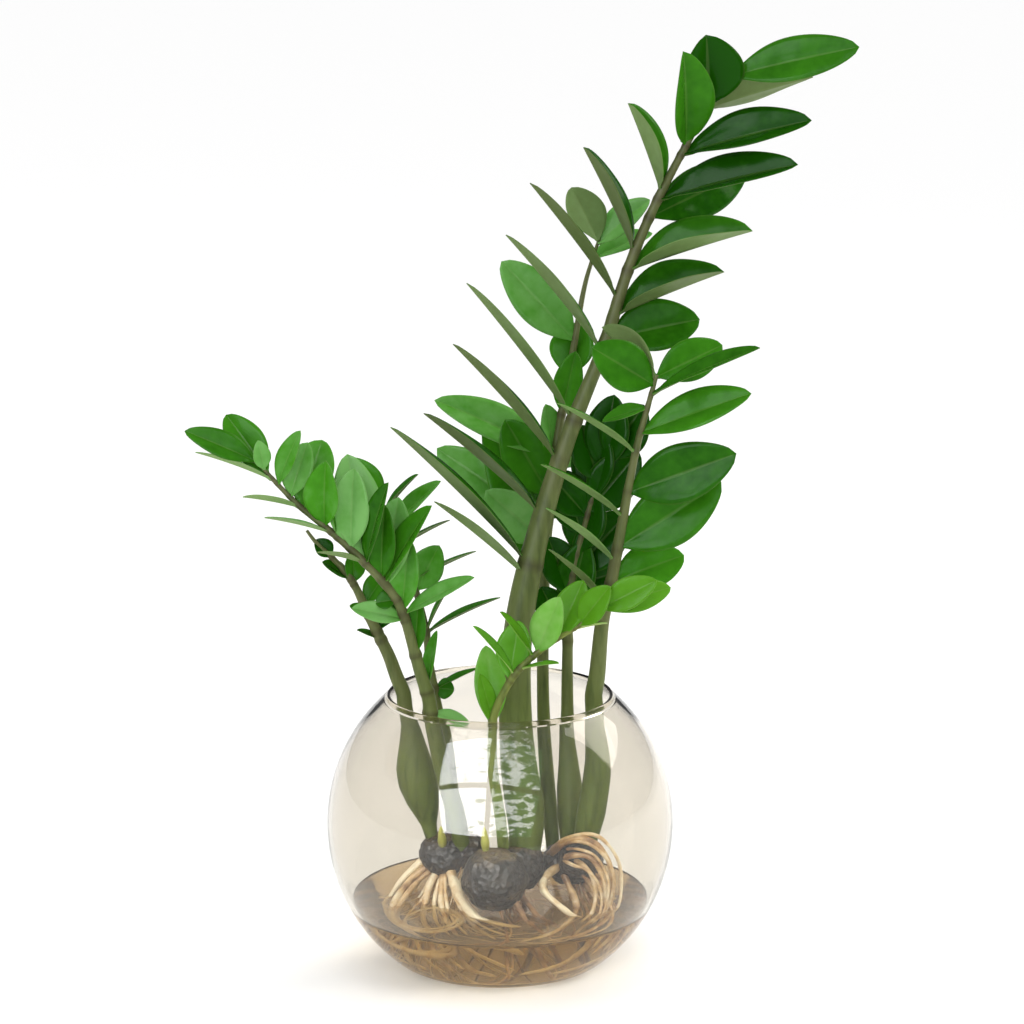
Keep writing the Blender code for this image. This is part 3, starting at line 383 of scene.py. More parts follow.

# %% [markdown]
# ## How the plant is written down
#
# Each frond is one stem with two ranks of leaflets. The foot's points lie inside the bowl and the
# rise's points above it, in millimetres from the centre of the bowl's base. The girth is the
# stem's radius at shares of its length. A leaflet is (share up the stem, lean from upright towards
# +X, lean towards -Y, length, width, turn, fold): the turn rolls its upper face from -Y to the sky,
# and the fold lifts its two halves from the midrib.

# %% Fronds
# The range of tones that a frond gives its blades, the pair after its twist, is partly their own green and
# partly painted light: raised for a painted sheen on the rear and left fronds, lowered for painted shade in
# the inner frond.
FRONDS = {
    "tall": {
        "foot": ((14, -8, 64), (15, -6, 86), (11, -7, 114), (9, -8, 141)),
        "rise": (
            (9, -8, 180), (14, -6, 220), (27, 0, 271), (42, 5, 316), (58, 10, 355), (72, 15, 400),
            (87, 18, 436), (103, 20, 467), (115, 20, 489), (130, 20, 510),
        ),
        "girth": (
            (0, 9), (0.06, 11.5), (0.14, 10), (0.33, 7.8), (0.45, 5.8), (0.6, 4), (0.85, 2.4), (1, 1.3),
        ),
        "droop": 0.04, "twist": 12, "tone_and_painted_light": (0.1, 0.6),
        "leaflets": (
            (0.648, 77, -8, 55, 34, 30, 20), (0.679, 67, -5, 67, 38, 73, 42),
            (0.736, 70, 4, 73, 39, 75, 42), (0.803, 69, -34, 76, 30, 10, 10),
            (0.826, 73, 10, 81, 33, 60, 28), (0.886, 73, 5, 75, 33, 55, 25),
            (0.95, 74, -19, 65, 32, 125, 15), (0.995, 75, 8, 73, 28, 32, 12),
            (0.95, -2, 16, 42, 42, 22, 20), (0.898, -2, 30, 62, 33, 35, 32),
            (0.837, -19, 8, 54, 29, 78, 42), (0.759, -24, 8, 67, 28, 84, 32), (0.7, -35, 5, 83, 26, 94, 26),
            (0.635, -37, 5, 86, 26, 94, 26), (0.545, -35, 5, 100, 24, 97, 24),
            (0.493, -39, 5, 91, 26, 95, 26), (0.426, -47, 0, 89, 28, 93, 26),
            (0.364, -41, 10, 115, 26, 95, 26), (0.349, -45, 18, 75, 24, 104, 18),
        ),
    },
    "right": {
        "foot": ((48, -4, 66), (53, -6, 92), (56, -8, 118), (54, -9, 146)),
        "rise": (
            (56, -14, 181), (58, -17, 205), (62, -18, 223), (69, -20, 264), (76, -22, 304), (84, -24, 335),
            (87, -25, 347),
        ),
        "girth": (
            (0, 6.5), (0.08, 8.4), (0.17, 7.8), (0.26, 5.6), (0.37, 4.8), (0.55, 3.6), (0.8, 2.3), (1, 1.2),
        ),
        "droop": 0.05, "twist": 8, "tone_and_painted_light": (0.3, 0.8),
        "leaflets": (
            (0.995, 67, -20, 44, 24, 15, 10), (0.96, 59, 23, 71, 18, 76, 20),
            (0.879, 66, 15, 67, 27, 48, 18), (0.757, 67, 15, 66, 34, 15, 14),
            (0.644, 57, 3, 69, 36, 10, 14), (0.571, 70, -12, 45, 28, 30, 15),
            (0.979, -56, 20, 44, 28, 20, 12), (0.995, -46, -22, 42, 28, 122, 20),
            (0.932, -107, -10, 27, 16, 70, 15), (0.841, -51, 25, 60, 18, 100, 18),
            (0.709, -50, 25, 64, 20, 100, 18), (0.617, -45, 25, 59, 18, 105, 18),
            (0.529, -39, 27, 56, 16, 105, 18),
        ),
    },
    "young": {
        "foot": ((2, -20, 72), (0, -28, 94), (-4, -34, 122), (-4, -38, 145)),
        "rise": (
            (-3, -40, 157), (6, -44, 177), (17, -46, 190), (32, -48, 202), (47, -50, 212), (57, -52, 221),
        ),
        "girth": ((0, 3.4), (0.3, 2.9), (0.6, 2.1), (1, 1.0)),
        "droop": 0.08, "twist": 0, "tone_and_painted_light": (0.3, 1.2),
        "leaflets": (
            (0.444, -3, -14, 46, 19, 18, 8), (0.46, -11, 14, 31, 11, 30, 12),
            (0.643, -33, 14, 39, 12, 80, 15), (0.615, 8, -22, 35, 21, 15, 15),
            (0.728, -29, 18, 35, 12, 78, 15), (0.743, 18, 16, 37, 20, 25, 16),
            (0.827, 23, -12, 35, 20, 25, 16), (0.993, 59, 8, 35, 19, 25, 20),
            (0.991, 75, -16, 43, 20, 30, 20), (0.903, 34, 16, 30, 18, 30, 16),
            (0.67, 66, 36, 28, 10, 98, 10), (0.885, 84, -32, 22, 10, 98, 12),
        ),
    },
    "left": {
        "foot": ((-22, 0, 66), (-25, -6, 86), (-33, -13, 118), (-39, -20, 146)),
        "rise": (
            (-40, -22, 160), (-45, -24, 177), (-49, -26, 193), (-54, -28, 211), (-61, -29, 225),
            (-77, -30, 243), (-94, -30, 259), (-112, -30, 274), (-128, -30, 291), (-136, -30, 300),
        ),
        "girth": ((0, 5), (0.1, 5.5), (0.3, 4.4), (0.55, 2.8), (0.8, 1.9), (1, 0.9)),
        "droop": 0.08, "twist": 0, "tone_and_painted_light": (0.3, 1.7),
        "leaflets": (
            (0.995, -64, 5, 43, 18, 40, 20), (0.96, -38, -25, 44, 22, 20, 20),
            (0.972, -8, 17, 18, 11, 20, 20), (0.931, 20, 10, 34, 14, 35, 20),
            (0.895, 17, -5, 32, 20, 20, 20), (0.859, 14, -25, 42, 30, 15, 25),
            (0.802, 0, 17, 40, 24, 20, 28), (0.768, -2, -10, 30, 20, 60, 20), (0.731, 1, 4, 46, 26, 15, 24),
            (0.688, 11, 22, 55, 18, 55, 20), (0.691, -9, -14, 62, 30, 15, 20),
            (0.642, 1, 10, 44, 20, 20, 20), (0.633, 26, 14, 55, 20, 55, 24), (0.625, 6, -8, 50, 26, 15, 20),
            (0.56, 4, 4, 42, 20, 18, 22), (0.556, 55, 20, 49, 14, 60, 20), (0.947, -66, 0, 45, 12, 100, 20),
            (0.868, -76, 0, 32, 11, 110, 20), (0.785, -72, 5, 38, 14, 100, 15),
            (0.694, -70, 15, 28, 13, 110, 15), (0.543, -73, 12, 31, 14, 40, 20),
            (0.589, -96, 5, 12, 13, 40, 20), (0.463, 2, 8, 32, 14, 20, 20), (0.378, 6, -12, 35, 11, 50, 20),
            (0.332, 109, -14, 25, 10, 50, 18),
        ),
    },
    "outer": {
        "foot": ((-39, 7, 65), (-43, 7, 86), (-49, 4, 111), (-53, 1, 140)),
        "rise": (
            (-61, -2, 174), (-68, -4, 191), (-76, -5, 208), (-82, -6, 222), (-91, -7, 235), (-103, -8, 247),
            (-109, -8, 255),
        ),
        "girth": (
            (0, 3), (0.06, 4.6), (0.13, 9.5), (0.19, 11.5), (0.24, 10.8), (0.3, 7.5), (0.36, 4.8),
            (0.65, 3.2), (0.85, 1.8), (1, 0.9),
        ),
        "droop": 0.06, "twist": 0, "tone_and_painted_light": (0.1, 0.8),
        "leaflets": (
            (0.897, -40, 0, 14, 12, 30, 20), (0.818, -54, 5, 19, 12, 60, 20),
            (0.705, -61, 0, 12, 9, 60, 15), (0.626, -63, 5, 15, 8, 80, 15),
            (0.802, -1, -14, 18, 14, 30, 20), (0.733, 34, -20, 25, 15, 30, 20),
            (0.652, 31, -20, 28, 16, 30, 20),
        ),
    },
    "rear_left": {
        "foot": ((-27, 10, 66), (-28, 18, 84), (-30, 24, 110), (-36, 28, 140)),
        "rise": (
            (-41, 30, 167), (-43, 32, 187), (-49, 34, 211), (-57, 36, 228), (-65, 38, 247), (-69, 38, 260),
        ),
        "girth": ((0, 4), (0.1, 4.6), (0.4, 2.8), (0.75, 1.7), (1, 0.9)),
        "droop": 0.08, "twist": 0, "tone_and_painted_light": (0.3, 1.2),
        "leaflets": (
            (0.995, -34, -10, 34, 22, 15, 20), (0.976, 36, 10, 32, 12, 85, 20),
            (0.923, 42, 5, 42, 16, 60, 20), (0.867, 59, -12, 35, 12, 95, 15),
            (0.864, -20, -15, 26, 18, 20, 20), (0.733, 26, 2, 30, 22, 15, 20),
            (0.763, 62, -12, 41, 13, 95, 15), (0.611, 63, -15, 48, 15, 90, 15),
            (0.449, 95, 5, 12, 13, 20, 15), (0.442, 64, -20, 30, 11, 85, 15),
            (0.616, 24, 0, 32, 10, 85, 15), (0.712, -36, -20, 28, 18, 20, 20),
        ),
    },
    "rear": {
        "foot": ((31, 15, 60), (29, 23, 82), (27, 26, 105), (25, 30, 146)),
        "rise": (
            (25, 34, 193), (26, 36, 228), (29, 40, 263), (32, 42, 292), (37, 44, 321), (42, 46, 349),
            (48, 48, 384), (53, 48, 402), (57, 48, 414),
        ),
        "girth": ((0, 4), (0.08, 4.6), (0.25, 3.6), (0.6, 2.8), (0.85, 1.8), (1, 0.9)),
        "droop": 0.06, "twist": 0, "tone_and_painted_light": (0.5, 1.4),
        "leaflets": (
            (0.995, -25, 10, 36, 24, 160, 18), (0.99, 47, 5, 39, 21, 45, 18),
            (0.965, 66, -12, 38, 20, 60, 18), (0.83, -42, 0, 62, 30, 15, 18),
            (0.77, 11, -15, 33, 28, 20, 18), (0.71, 12, 12, 39, 18, 10, 18), (0.63, -6, 2, 35, 20, 40, 18),
            (0.575, -29, 10, 54, 32, 10, 18), (0.5, -45, 14, 49, 28, 10, 18),
            (0.645, -63, 0, 76, 28, 45, 18), (0.53, -57, -15, 80, 30, 15, 18),
            (0.62, 54, -20, 34, 25, 40, 18), (0.54, 54, -20, 33, 25, 40, 18),
            (0.43, -17, -8, 108, 31, 15, 18),
        ),
    },
    "inner": {
        "foot": ((41, 10, 62), (41, 13, 84), (40, 15, 108), (39, 17, 138)),
        "rise": ((39, 17, 185), (41, 18, 220), (48, 18, 250), (54, 18, 273), (62, 18, 293)),
        "girth": ((0, 5.5), (0.08, 7.8), (0.15, 7.6), (0.26, 4.6), (0.36, 3.6), (0.6, 2.8), (1, 1.0)),
        "droop": 0.06, "twist": 0, "tone_and_painted_light": (0.0, 0.3),
        "leaflets": (
            (0.99, 32, 5, 38, 30, 15, 18), (0.93, -14, 0, 34, 27, 20, 18), (0.88, 4, -4, 44, 27, 20, 15),
            (0.85, 38, 5, 46, 30, 15, 18), (0.79, -16, 0, 40, 28, 15, 18), (0.69, 40, 0, 48, 30, 15, 18),
            (0.64, -20, 0, 36, 26, 25, 18), (0.57, 47, 0, 38, 26, 20, 18), (0.52, -24, 0, 36, 24, 20, 15),
            (0.96, 8, 0, 44, 28, 15, 18), (0.74, 14, 0, 40, 28, 20, 18), (0.84, -40, 6, 34, 24, 20, 18),
            (0.6, 12, 4, 42, 26, 20, 18), (0.66, 72, 0, 36, 24, 20, 18),
        ),
    },
}
LOOSE = ("tall", "right", "young")
RIM_SLANT = 1.15
CLEARANCE = 0.35 * MM
print(len(FRONDS), "fronds with", sum(len(f["leaflets"]) for f in FRONDS.values()), "leaflets")


# %% [markdown]
# ## Lines through space
#
# Stems and roots follow lines. A Catmull-Rom curve passes smoothly through the written points, and
# a point that would touch the glass is moved in, as a real stem leans on the rim.


# %% Path helpers
def smooth_path(points, steps):
    """A Catmull-Rom curve through the points, with so many steps between each pair."""
    ends = [2 * points[0] - points[1]] + list(points) + [2 * points[-1] - points[-2]]
    path = []
    for a, b, c, d in zip(ends, ends[1:], ends[2:], ends[3:]):
        for step in range(steps):
            t = step / steps
            square = (2 * a - 5 * b + 4 * c - d) * t**2
            cube = (3 * b - a - 3 * c + d) * t**3
            path.append(0.5 * (2 * b + (c - a) * t + square + cube))
    return path + [points[-1]]


def distances(path):
    """How far along the path each of its points lies, as a share of its length."""
    total = [0.0]
    for a, b in zip(path, path[1:]):
        total.append(total[-1] + (b - a).length)
    return [value / total[-1] for value in total]


def between(table, share):
    """Reads a table of (share, value) with straight lines between its rows."""
    for (low, first), (high, second) in zip(table, table[1:]):
        if share <= high:
            return first + (second - first) * (share - low) / (high - low)
    return table[-1][1]


def point_at(path, share):
    """The place on the path at this share of its length."""
    shares = distances(path)
    for index in range(len(path) - 1):
        if share <= shares[index + 1]:
            t = (share - shares[index]) / (shares[index + 1] - shares[index])
            return path[index].lerp(path[index + 1], t)
    return path[-1]


def kept_inside(point, radius):
    """Moves a point so that a root or stem of this radius there clears the glass."""
    height = max(point.z, BOWL_FLOOR + radius + 2 * CLEARANCE)
    room = INNER_RADIUS - 2 * CLEARANCE
    level = min(height, RIM_HEIGHT) - CENTRE_HEIGHT
    above = max(0.0, height - RIM_HEIGHT - BOWL_WALL)
    across = math.sqrt(room**2 - level**2) - radius * RIM_SLANT + above
    flat = Vector((point.x, point.y, 0))
    if flat.length > across:
        flat *= across / flat.length
    return Vector((flat.x, flat.y, height))


def settled(points, radii, rounds):
    """Keeps a line's points off the glass and takes the corners out of it, a few times over."""
    for _ in range(rounds):
        points = [kept_inside(point, radius) for point, radius in zip(points, radii)]
        middles = [(a + 2 * b + c) / 4 for a, b, c in zip(points, points[1:], points[2:])]
        points = [points[0]] + middles + [points[-1]]
    return points


# %% [markdown]
# ## Tubes that follow a line
#
# A stem or a root is a circle pushed along its line, with its radius changing on the way. Each
# step extrudes the end face, then moves the new ring onto the next point. The rings turn only as
# much as the line does, so the skin never twists.


# %% Tube helper
def tube(path, radii, sides, marks=None):
    """A closed tube along the path. Each ring's share of the length and its mark are kept on it."""
    bm = bmesh.new()
    grain = bm.verts.layers.float_vector.new("grain")
    heading = (path[1] - path[0]).normalized()
    across = heading.orthogonal().normalized()
    shares = distances(path)
    marks = marks or [0.0] * len(path)

    def seat(ring, index, across, heading):
        for number, vert in enumerate(ring):
            angle = math.tau * number / sides
            out = across * math.cos(angle) + heading.cross(across) * math.sin(angle)
            vert.co = path[index] + out * radii[index]
            vert[grain] = (shares[index], angle / math.tau, marks[index])

    made = bmesh.ops.create_circle(bm, cap_ends=True, segments=sides, radius=1)["verts"]
    ring = sorted(made, key=lambda vert: math.atan2(vert.co.y, vert.co.x) % math.tau)
    face = bm.faces[:][0]
    seat(ring, 0, across, heading)
    for index in range(1, len(path)):
        turned = (path[min(index + 1, len(path) - 1)] - path[index - 1]).normalized()
        across = heading.rotation_difference(turned) @ across
        across = (across - turned * across.dot(turned)).normalized()
        heading = turned
        before = {vert: number for number, vert in enumerate(ring)}
        made = bmesh.ops.extrude_face_region(bm, geom=[face])["geom"]
        if index > 1:
            bmesh.ops.delete(bm, geom=[face], context="FACES_ONLY")
        face = next(item for item in made if isinstance(item, bmesh.types.BMFace))
        after = [None] * sides
        for vert in face.verts:
            old = next(e.other_vert(vert) for e in vert.link_edges if e.other_vert(vert) in before)
            after[before[old]] = vert
        ring = after
        seat(ring, index, across, heading)
    bmesh.ops.recalc_face_normals(bm, faces=bm.faces)
    return bm


def joined(parts):
    """Several bmeshes as one, each freed once it is copied."""
    whole = bmesh.new()
    scratch = bpy.data.meshes.new("scratch")
    for part in parts:
        part.to_mesh(scratch)
        part.free()
        whole.from_mesh(scratch)
    bpy.data.meshes.remove(scratch)
    return whole


# %% [markdown]
# ## Rhizomes
#
# A ZZ plant stores water in rhizomes, like small dark potatoes with rings where leaf bases once
# sat. Each is a few lumps that grew into one. Spheres placed as in the model are melted together by
# a voxel remesh, and noise then wrinkles the skin.


# %% Rhizome material
def rhizome_skin():
    """Dry corky skin: dark brown, with paler scurf where it is rubbed and a tan patch on top."""
    material, shader = new_material("corky rhizome skin")
    place = node(material, "TexCoord").outputs["Object"]
    blotch = node(material, "TexNoise", {"Vector": place}, Scale=every(11.1), Detail=4.0)
    scurf = node(material, "TexVoronoi", {"Vector": place}, Scale=every(3.33))
    colours = node(material, "ValToRGB", {"Fac": blotch})
    ramp = colours.color_ramp
    ramp.elements[0].position, ramp.elements[0].color = 0.38, linear("#120F0D")
    ramp.elements[1].position, ramp.elements[1].color = 0.70, linear("#51473A")
    ramp.elements.new(0.54).color = linear("#27211B")
    facing = node(material, "NewGeometry").outputs["Normal"]
    upward = node(material, "SeparateXYZ", {"Vector": facing}).outputs["Z"]
    top = node(material, "MapRange", {"Value": upward}, From_Min=0.72, From_Max=1.0)
    tan = node(material, "Mix", {0: top, 6: colours, 7: linear("#6B5B40")}, data_type="RGBA")
    bump = node(material, "Bump", {"Height": scurf}, Strength=0.9, Distance=1.4 * MM)
    feed(shader, {"Base Color": tan, "Roughness": 0.42, "Normal": bump})
    return material


# %% Rhizome and root tables
RHIZOMES = {
    "left": {
        "knobs": (((-32, 5, 60), (15, 14, 13)), ((-18, 4, 64), (10, 10, 8))),
        "roots": ((150, 4, 44, 40), (176, 2, 50, 25), (125, 3, 48, 15), (100, 4, 56, 10)),
        "drawn": (
            (3.4, (-30, 0, 56), (-24, -18, 44), (-14, -36, 36), (2, -46, 32), (12, -44, 27)),
            (2.4, (-32, 2, 54), (-34, -14, 40), (-30, -32, 24), (-24, -48, 16)),
            (2.0, (-28, 2, 54), (-24, -10, 38), (-16, -32, 20), (-2, -52, 14)),
            (2.5, (-34, 3, 54), (-42, -8, 42), (-44, -24, 20), (-38, -42, 14)),
            (
                2.5, (-36, 6, 56), (-52, 0, 46), (-62, -18, 34), (-56, -40, 27), (-37, -50, 25),
                (-22, -38, 27), (-27, -22, 32), (-42, -18, 32), (-54, -28, 28),
            ),
            (2.0, (-36, 8, 54), (-52, 10, 40), (-66, 2, 26), (-62, -24, 18), (-46, -44, 14)),
        ),
        "thin": (
            (1.5, (-30, 0, 54), (-26, -16, 42), (-16, -34, 30), (-4, -48, 24), (8, -52, 18)),
            (1.3, (-32, 0, 54), (-31, -16, 40), (-26, -34, 26), (-18, -50, 18)),
            (1.6, (-33, 2, 52), (-38, -14, 36), (-36, -32, 22), (-28, -46, 14)),
            (1.2, (-34, 2, 52), (-46, -10, 36), (-54, -28, 24), (-50, -42, 18)),
            (1.1, (-29, 0, 52), (-20, -14, 36), (-8, -30, 22), (8, -44, 13)),
            (
                1.8, (-35, 6, 54), (-50, -4, 44), (-60, -22, 32), (-52, -42, 26), (-34, -46, 27),
                (-24, -34, 30), (-34, -20, 34),
            ),
        ),
        "fine": (22, 90, 270), "age": (-0.2, 0.08), "seed": 3,
    },
    "middle": {
        "knobs": (((-3, -32, 57), (19, 18, 18)), ((12, -10, 58), (14, 15, 14))),
        "roots": ((318, 0, 34, 30), (345, 0, 40, 30)),
        "drawn": ((1.8, (12, -10, 48), (14, -20, 26), (4, -26, 12), (-14, -22, 9)),),
        "thin": (),
        "fine": (10, 200, 380), "age": (0.2, 0.5), "seed": 5,
    },
    "right": {
        "knobs": (((42, 6, 55), (18, 13, 13)), ((46, -4, 61), (13, 12, 12))),
        "roots": ((28, 12, 34, 10), (52, 6, 40, 14), (78, 4, 50, 18), (105, 3, 56, 10)),
        "drawn": (
            (2.2, (28, 4, 60), (36, -13, 72), (48, -19, 77), (60, -19, 68), (65, -18, 48), (60, -22, 26)),
            (2.0, (36, -4, 60), (42, -19, 67), (52, -21, 66), (59, -22, 54), (60, -26, 36), (52, -34, 22)),
            (1.8, (36, 0, 60), (45, -16, 62), (53, -23, 55), (54, -28, 40), (46, -36, 27)),
            (2.7, (38, 2, 56), (27, -16, 54), (25, -28, 49), (36, -34, 40), (47, -33, 32)),
            (2.2, (36, -2, 52), (44, -20, 34), (32, -44, 20), (10, -58, 15)),
            (2.0, (50, 2, 52), (62, 2, 36), (63, -16, 20), (48, -42, 15), (26, -54, 13)),
        ),
        "thin": (
            (1.3, (30, -2, 62), (40, -16, 74), (52, -22, 74), (63, -22, 62), (64, -22, 44), (56, -28, 28)),
            (1.2, (34, -2, 60), (42, -22, 62), (50, -26, 60), (57, -27, 50), (57, -30, 36), (48, -38, 24)),
            (1.4, (30, 2, 64), (40, -16, 77), (56, -18, 78), (68, -16, 62), (69, -18, 40), (60, -30, 24)),
            (1.0, (34, 0, 64), (44, -20, 71), (55, -23, 67), (62, -24, 52), (58, -30, 34), (46, -40, 22)),
            (1.2, (40, 0, 56), (52, -18, 50), (64, -24, 36), (60, -38, 20), (40, -52, 14)),
        ),
        "fine": (22, 290, 460), "age": (0.05, 0.4), "seed": 8,
    },
}


# %% Rhizomes
VOXEL = 0.9 * MM
WRINKLE_DEPTH = 0.9 * MM
RING_DEPTH = 0.28 * MM
RING_SPACING = 2.1 * MM


def knobs(design):
    """The lumps of one rhizome, ringed and wrinkled, melted into one skin."""
    parts = []
    for centre, half_sizes in design["knobs"]:
        bm = bmesh.new()
        bmesh.ops.create_icosphere(bm, subdivisions=4, radius=1)
        bmesh.ops.scale(bm, vec=Vector(half_sizes) * MM, verts=bm.verts)
        bmesh.ops.translate(bm, vec=Vector(centre) * MM, verts=bm.verts)
        parts.append(bm)
    mesh = bpy.data.meshes.new("lumps")
    whole = joined(parts)
    whole.to_mesh(mesh)
    whole.free()
    lumps = placed("lumps", mesh)
    melt = lumps.modifiers.new("melt", "REMESH")
    melt.mode = "VOXEL"
    melt.voxel_size = VOXEL
    calm = lumps.modifiers.new("calm", "SMOOTH")
    calm.iterations = 6
    bpy.context.view_layer.update()
    melted = bpy.data.meshes.new_from_object(lumps.evaluated_get(bpy.context.evaluated_depsgraph_get()))
    bpy.data.objects.remove(lumps)
    bm = bmesh.new()
    bm.from_mesh(melted)
    bpy.data.meshes.remove(melted)
    for vert in bm.verts:
        wrinkle = noise.fractal(vert.co * 130, 0.6, 2.0, 4) * WRINKLE_DEPTH
        ring = math.sin(vert.co.z / RING_SPACING + 2.2 * noise.noise(vert.co * 60)) * RING_DEPTH
        vert.co += vert.normal * (wrinkle + ring)
    return bm


skin = rhizome_skin()
for name, design in RHIZOMES.items():
    piece = finished(f"{name}_rhizome_knobs", knobs(design), skin, [f"{name}_rhizome"])
    print(piece.name, len(piece.data.polygons), "faces")

# %% [markdown]
# ## Roots
#
# Water roots are fleshy cords of 1 to 4 mm. They leave the rhizome sideways, arch over and fall to
# the floor of the bowl, where they run along the glass. The thick ones are those of the model. Many
# finer ones stray by a rule of their own, with seeded random bearings.


# %% Root material
def root_skin():
    """Fleshy water roots: cream at the tip, tan to brown where they are old, finely streaked."""
    material, shader = new_material("fleshy root")
    mark = kept(material, "grain")["Z"]
    place = node(material, "TexCoord").outputs["Object"]
    blotch = node(material, "TexNoise", {"Vector": place}, Scale=every(8.33), Detail=3.0)
    age = node(material, "Math", {0: mark, 1: blotch}, operation="ADD")
    colours = node(material, "ValToRGB", {"Fac": age})
    ramp = colours.color_ramp
    ramp.elements[0].position, ramp.elements[0].color = 0.32, linear("#F0E2C2")
    ramp.elements[1].position, ramp.elements[1].color = 1.0, linear("#6B4D30")
    ramp.elements.new(0.55).color = linear("#D0AE7C")
    ramp.elements.new(0.78).color = linear("#9A744A")
    fine = node(material, "TexNoise", {"Vector": place}, Scale=every(1.11), Detail=2.0)
    bump = node(material, "Bump", {"Height": fine}, Strength=0.35, Distance=0.5 * MM)
    feed(shader, {"Base Color": colours, "Roughness": 0.5, "Normal": bump})
    return material


# %% Root lines
ROOT_RADIUS = 2.1 * MM
ROOT_TAPER = 0.45
ROOT_ARCH_SPAN = 0.67
ARCH_STEPS = 10
STRAY_STEPS = 18
STRAY = 13 * MM
ROOT_ROUNDS = 2
ROOT_SIDES = 8


def arched_path(start, bearing, arch, reach, sweep):
    """A thick root: up and over its arch, then down to the floor, turning as it goes."""
    points = []
    for step in range(ARCH_STEPS + 1):
        t = step / ARCH_STEPS
        angle = math.radians(bearing + sweep * t)
        out = reach * MM * math.sin(t * math.pi / 2)
        hump = math.sin(math.pi * min(1, t / ROOT_ARCH_SPAN))
        drop = arch * MM * hump - start.z * t * t * (3 - 2 * t)
        points.append(start + Vector((out * math.cos(angle), out * math.sin(angle), drop)))
    return settled(points, [ROOT_RADIUS] * len(points), ROOT_ROUNDS)


def straying_path(start, bearing, reach, sweep, radius, seed):
    """A fine root: it sinks early, then runs along the bottom of the bowl, curling as it goes."""
    points = []
    for step in range(STRAY_STEPS + 1):
        t = step / STRAY_STEPS
        angle = math.radians(bearing + sweep * t * t)
        out = reach * MM * t**0.8
        fall = start.z * (1 - (1 - t) ** 2.4)
        stray = noise.noise_vector(Vector((seed, t * 4, 0))) * STRAY * min(1.0, 2 * t)
        points.append(start + Vector((out * math.cos(angle), out * math.sin(angle), -fall)) + stray)
    return settled(points, [radius] * len(points), ROOT_ROUNDS)


def root(path, radius, age, rng):
    """One root: a tapering tube, a little knotted, that ends in a blunt tip."""
    line = smooth_path(path, 3)
    shares = distances(line)
    phase = rng.uniform(0, 9)
    radii = []
    for share in shares:
        knot = 1 + 0.10 * math.sin(share * 23 + phase) + 0.06 * math.sin(share * 51 + 2 * phase)
        tip = min(1.0, math.sqrt(max(0.02, (1 - share) * 14)))
        radii.append(radius * (1 - ROOT_TAPER * share) * knot * tip)
    marks = [age - 0.30 * share + 0.2 * (1 - share) ** 4 for share in shares]
    return tube(line, radii, ROOT_SIDES, marks)


# %% Roots
flesh = root_skin()
for name, design in RHIZOMES.items():
    rng = random.Random(design["seed"])
    start = Vector(design["knobs"][0][0]) * MM
    parts = []
    for row in design["roots"]:
        parts.append(root(arched_path(start, *row), ROOT_RADIUS, rng.uniform(*design["age"]), rng))
    for radius, *points in design["drawn"] + design["thin"]:
        radius *= MM
        path = smooth_path([kept_inside(Vector(point) * MM, radius) for point in points], 3)
        path = [kept_inside(point, radius) for point in path]
        parts.append(root(path, radius, rng.uniform(*design["age"]), rng))
    count, low, high = design["fine"]
    for number in range(count):
        centre, half_sizes = design["knobs"][number % len(design["knobs"])]
        radius = rng.uniform(0.5, 1.2) * MM
        beginning = Vector(centre) * MM + Vector((0, 0, rng.uniform(-0.7, 0.2) * half_sizes[2] * MM))
        path = straying_path(
            beginning, rng.uniform(low, high), rng.uniform(35, 80), rng.uniform(-130, 130), radius,
            rng.uniform(0, 90),
        )
        parts.append(root(path, radius, rng.uniform(*design["age"]), rng))
    piece = finished(f"{name}_rhizome_roots", joined(parts), flesh, [f"{name}_rhizome"])
    print(piece.name, len(parts), "roots,", len(piece.data.polygons), "faces")

# %% [markdown]
# ## Stems
#
# What looks like a stem is a leaf stalk. It is swollen and fleshy at its foot, where it stores
# water, and tapers to a thin line among the leaflets. The skin is olive green with darker flecks
# drawn out along it, and browner towards the tip. Each leaflet leaves a slight ring.


# %% Stem material
def stalk_skin(name, low, high, fleck):
    """Waxy stalk: olive green below and browner above, with long dark flecks along it."""
    material, shader = new_material(name)
    parts = kept(material, "grain")
    place = node(material, "TexCoord").outputs["Object"]
    drawn_out = node(material, "Mapping", {"Vector": place}, Scale=(1, 1, 0.16))
    streak = node(material, "TexNoise", {"Vector": drawn_out}, Scale=every(3.85), Detail=3.0)
    broad = node(material, "TexNoise", {"Vector": place}, Scale=every(35.7), Detail=2.0)
    height = node(material, "Math", {0: broad, 1: parts["X"]}, operation="ADD")
    climb = node(material, "MapRange", {"Value": height}, From_Min=0.62, From_Max=1.25)
    along = node(material, "Mix", {0: climb, 6: linear(low), 7: linear(high)}, data_type="RGBA")
    spots = node(material, "MapRange", {"Value": streak}, From_Min=0.46, From_Max=0.74)
    flecked = node(material, "Mix", {0: spots, 6: along, 7: linear(fleck)}, data_type="RGBA")
    ringed = node(material, "Mix", {0: parts["Z"], 6: flecked, 7: linear("#3B2F22")}, data_type="RGBA")
    bump = node(material, "Bump", {"Height": streak}, Strength=0.25, Distance=0.6 * MM)
    feed(shader, {"Base Color": ringed, "Roughness": 0.45, "Specular IOR Level": 0.15, "Normal": bump})
    return material


# %% Stems
STEM_ROUNDS = 6
STEM_SIDES = 20
LINE_STEPS = 10
SCAR_WIDTH = 1.6 * MM
SCAR_HEIGHT = 0.5 * MM
SCAR_DARKNESS = 0.55
LAST_SCAR = 0.97


def frond_line(design):
    """A stem's line through its points, kept clear of the glass."""
    path = smooth_path([Vector(point) * MM for point in design["foot"] + design["rise"]], LINE_STEPS)
    radii = [between(design["girth"], share) * MM for share in distances(path)]
    return settled(path, radii, STEM_ROUNDS)


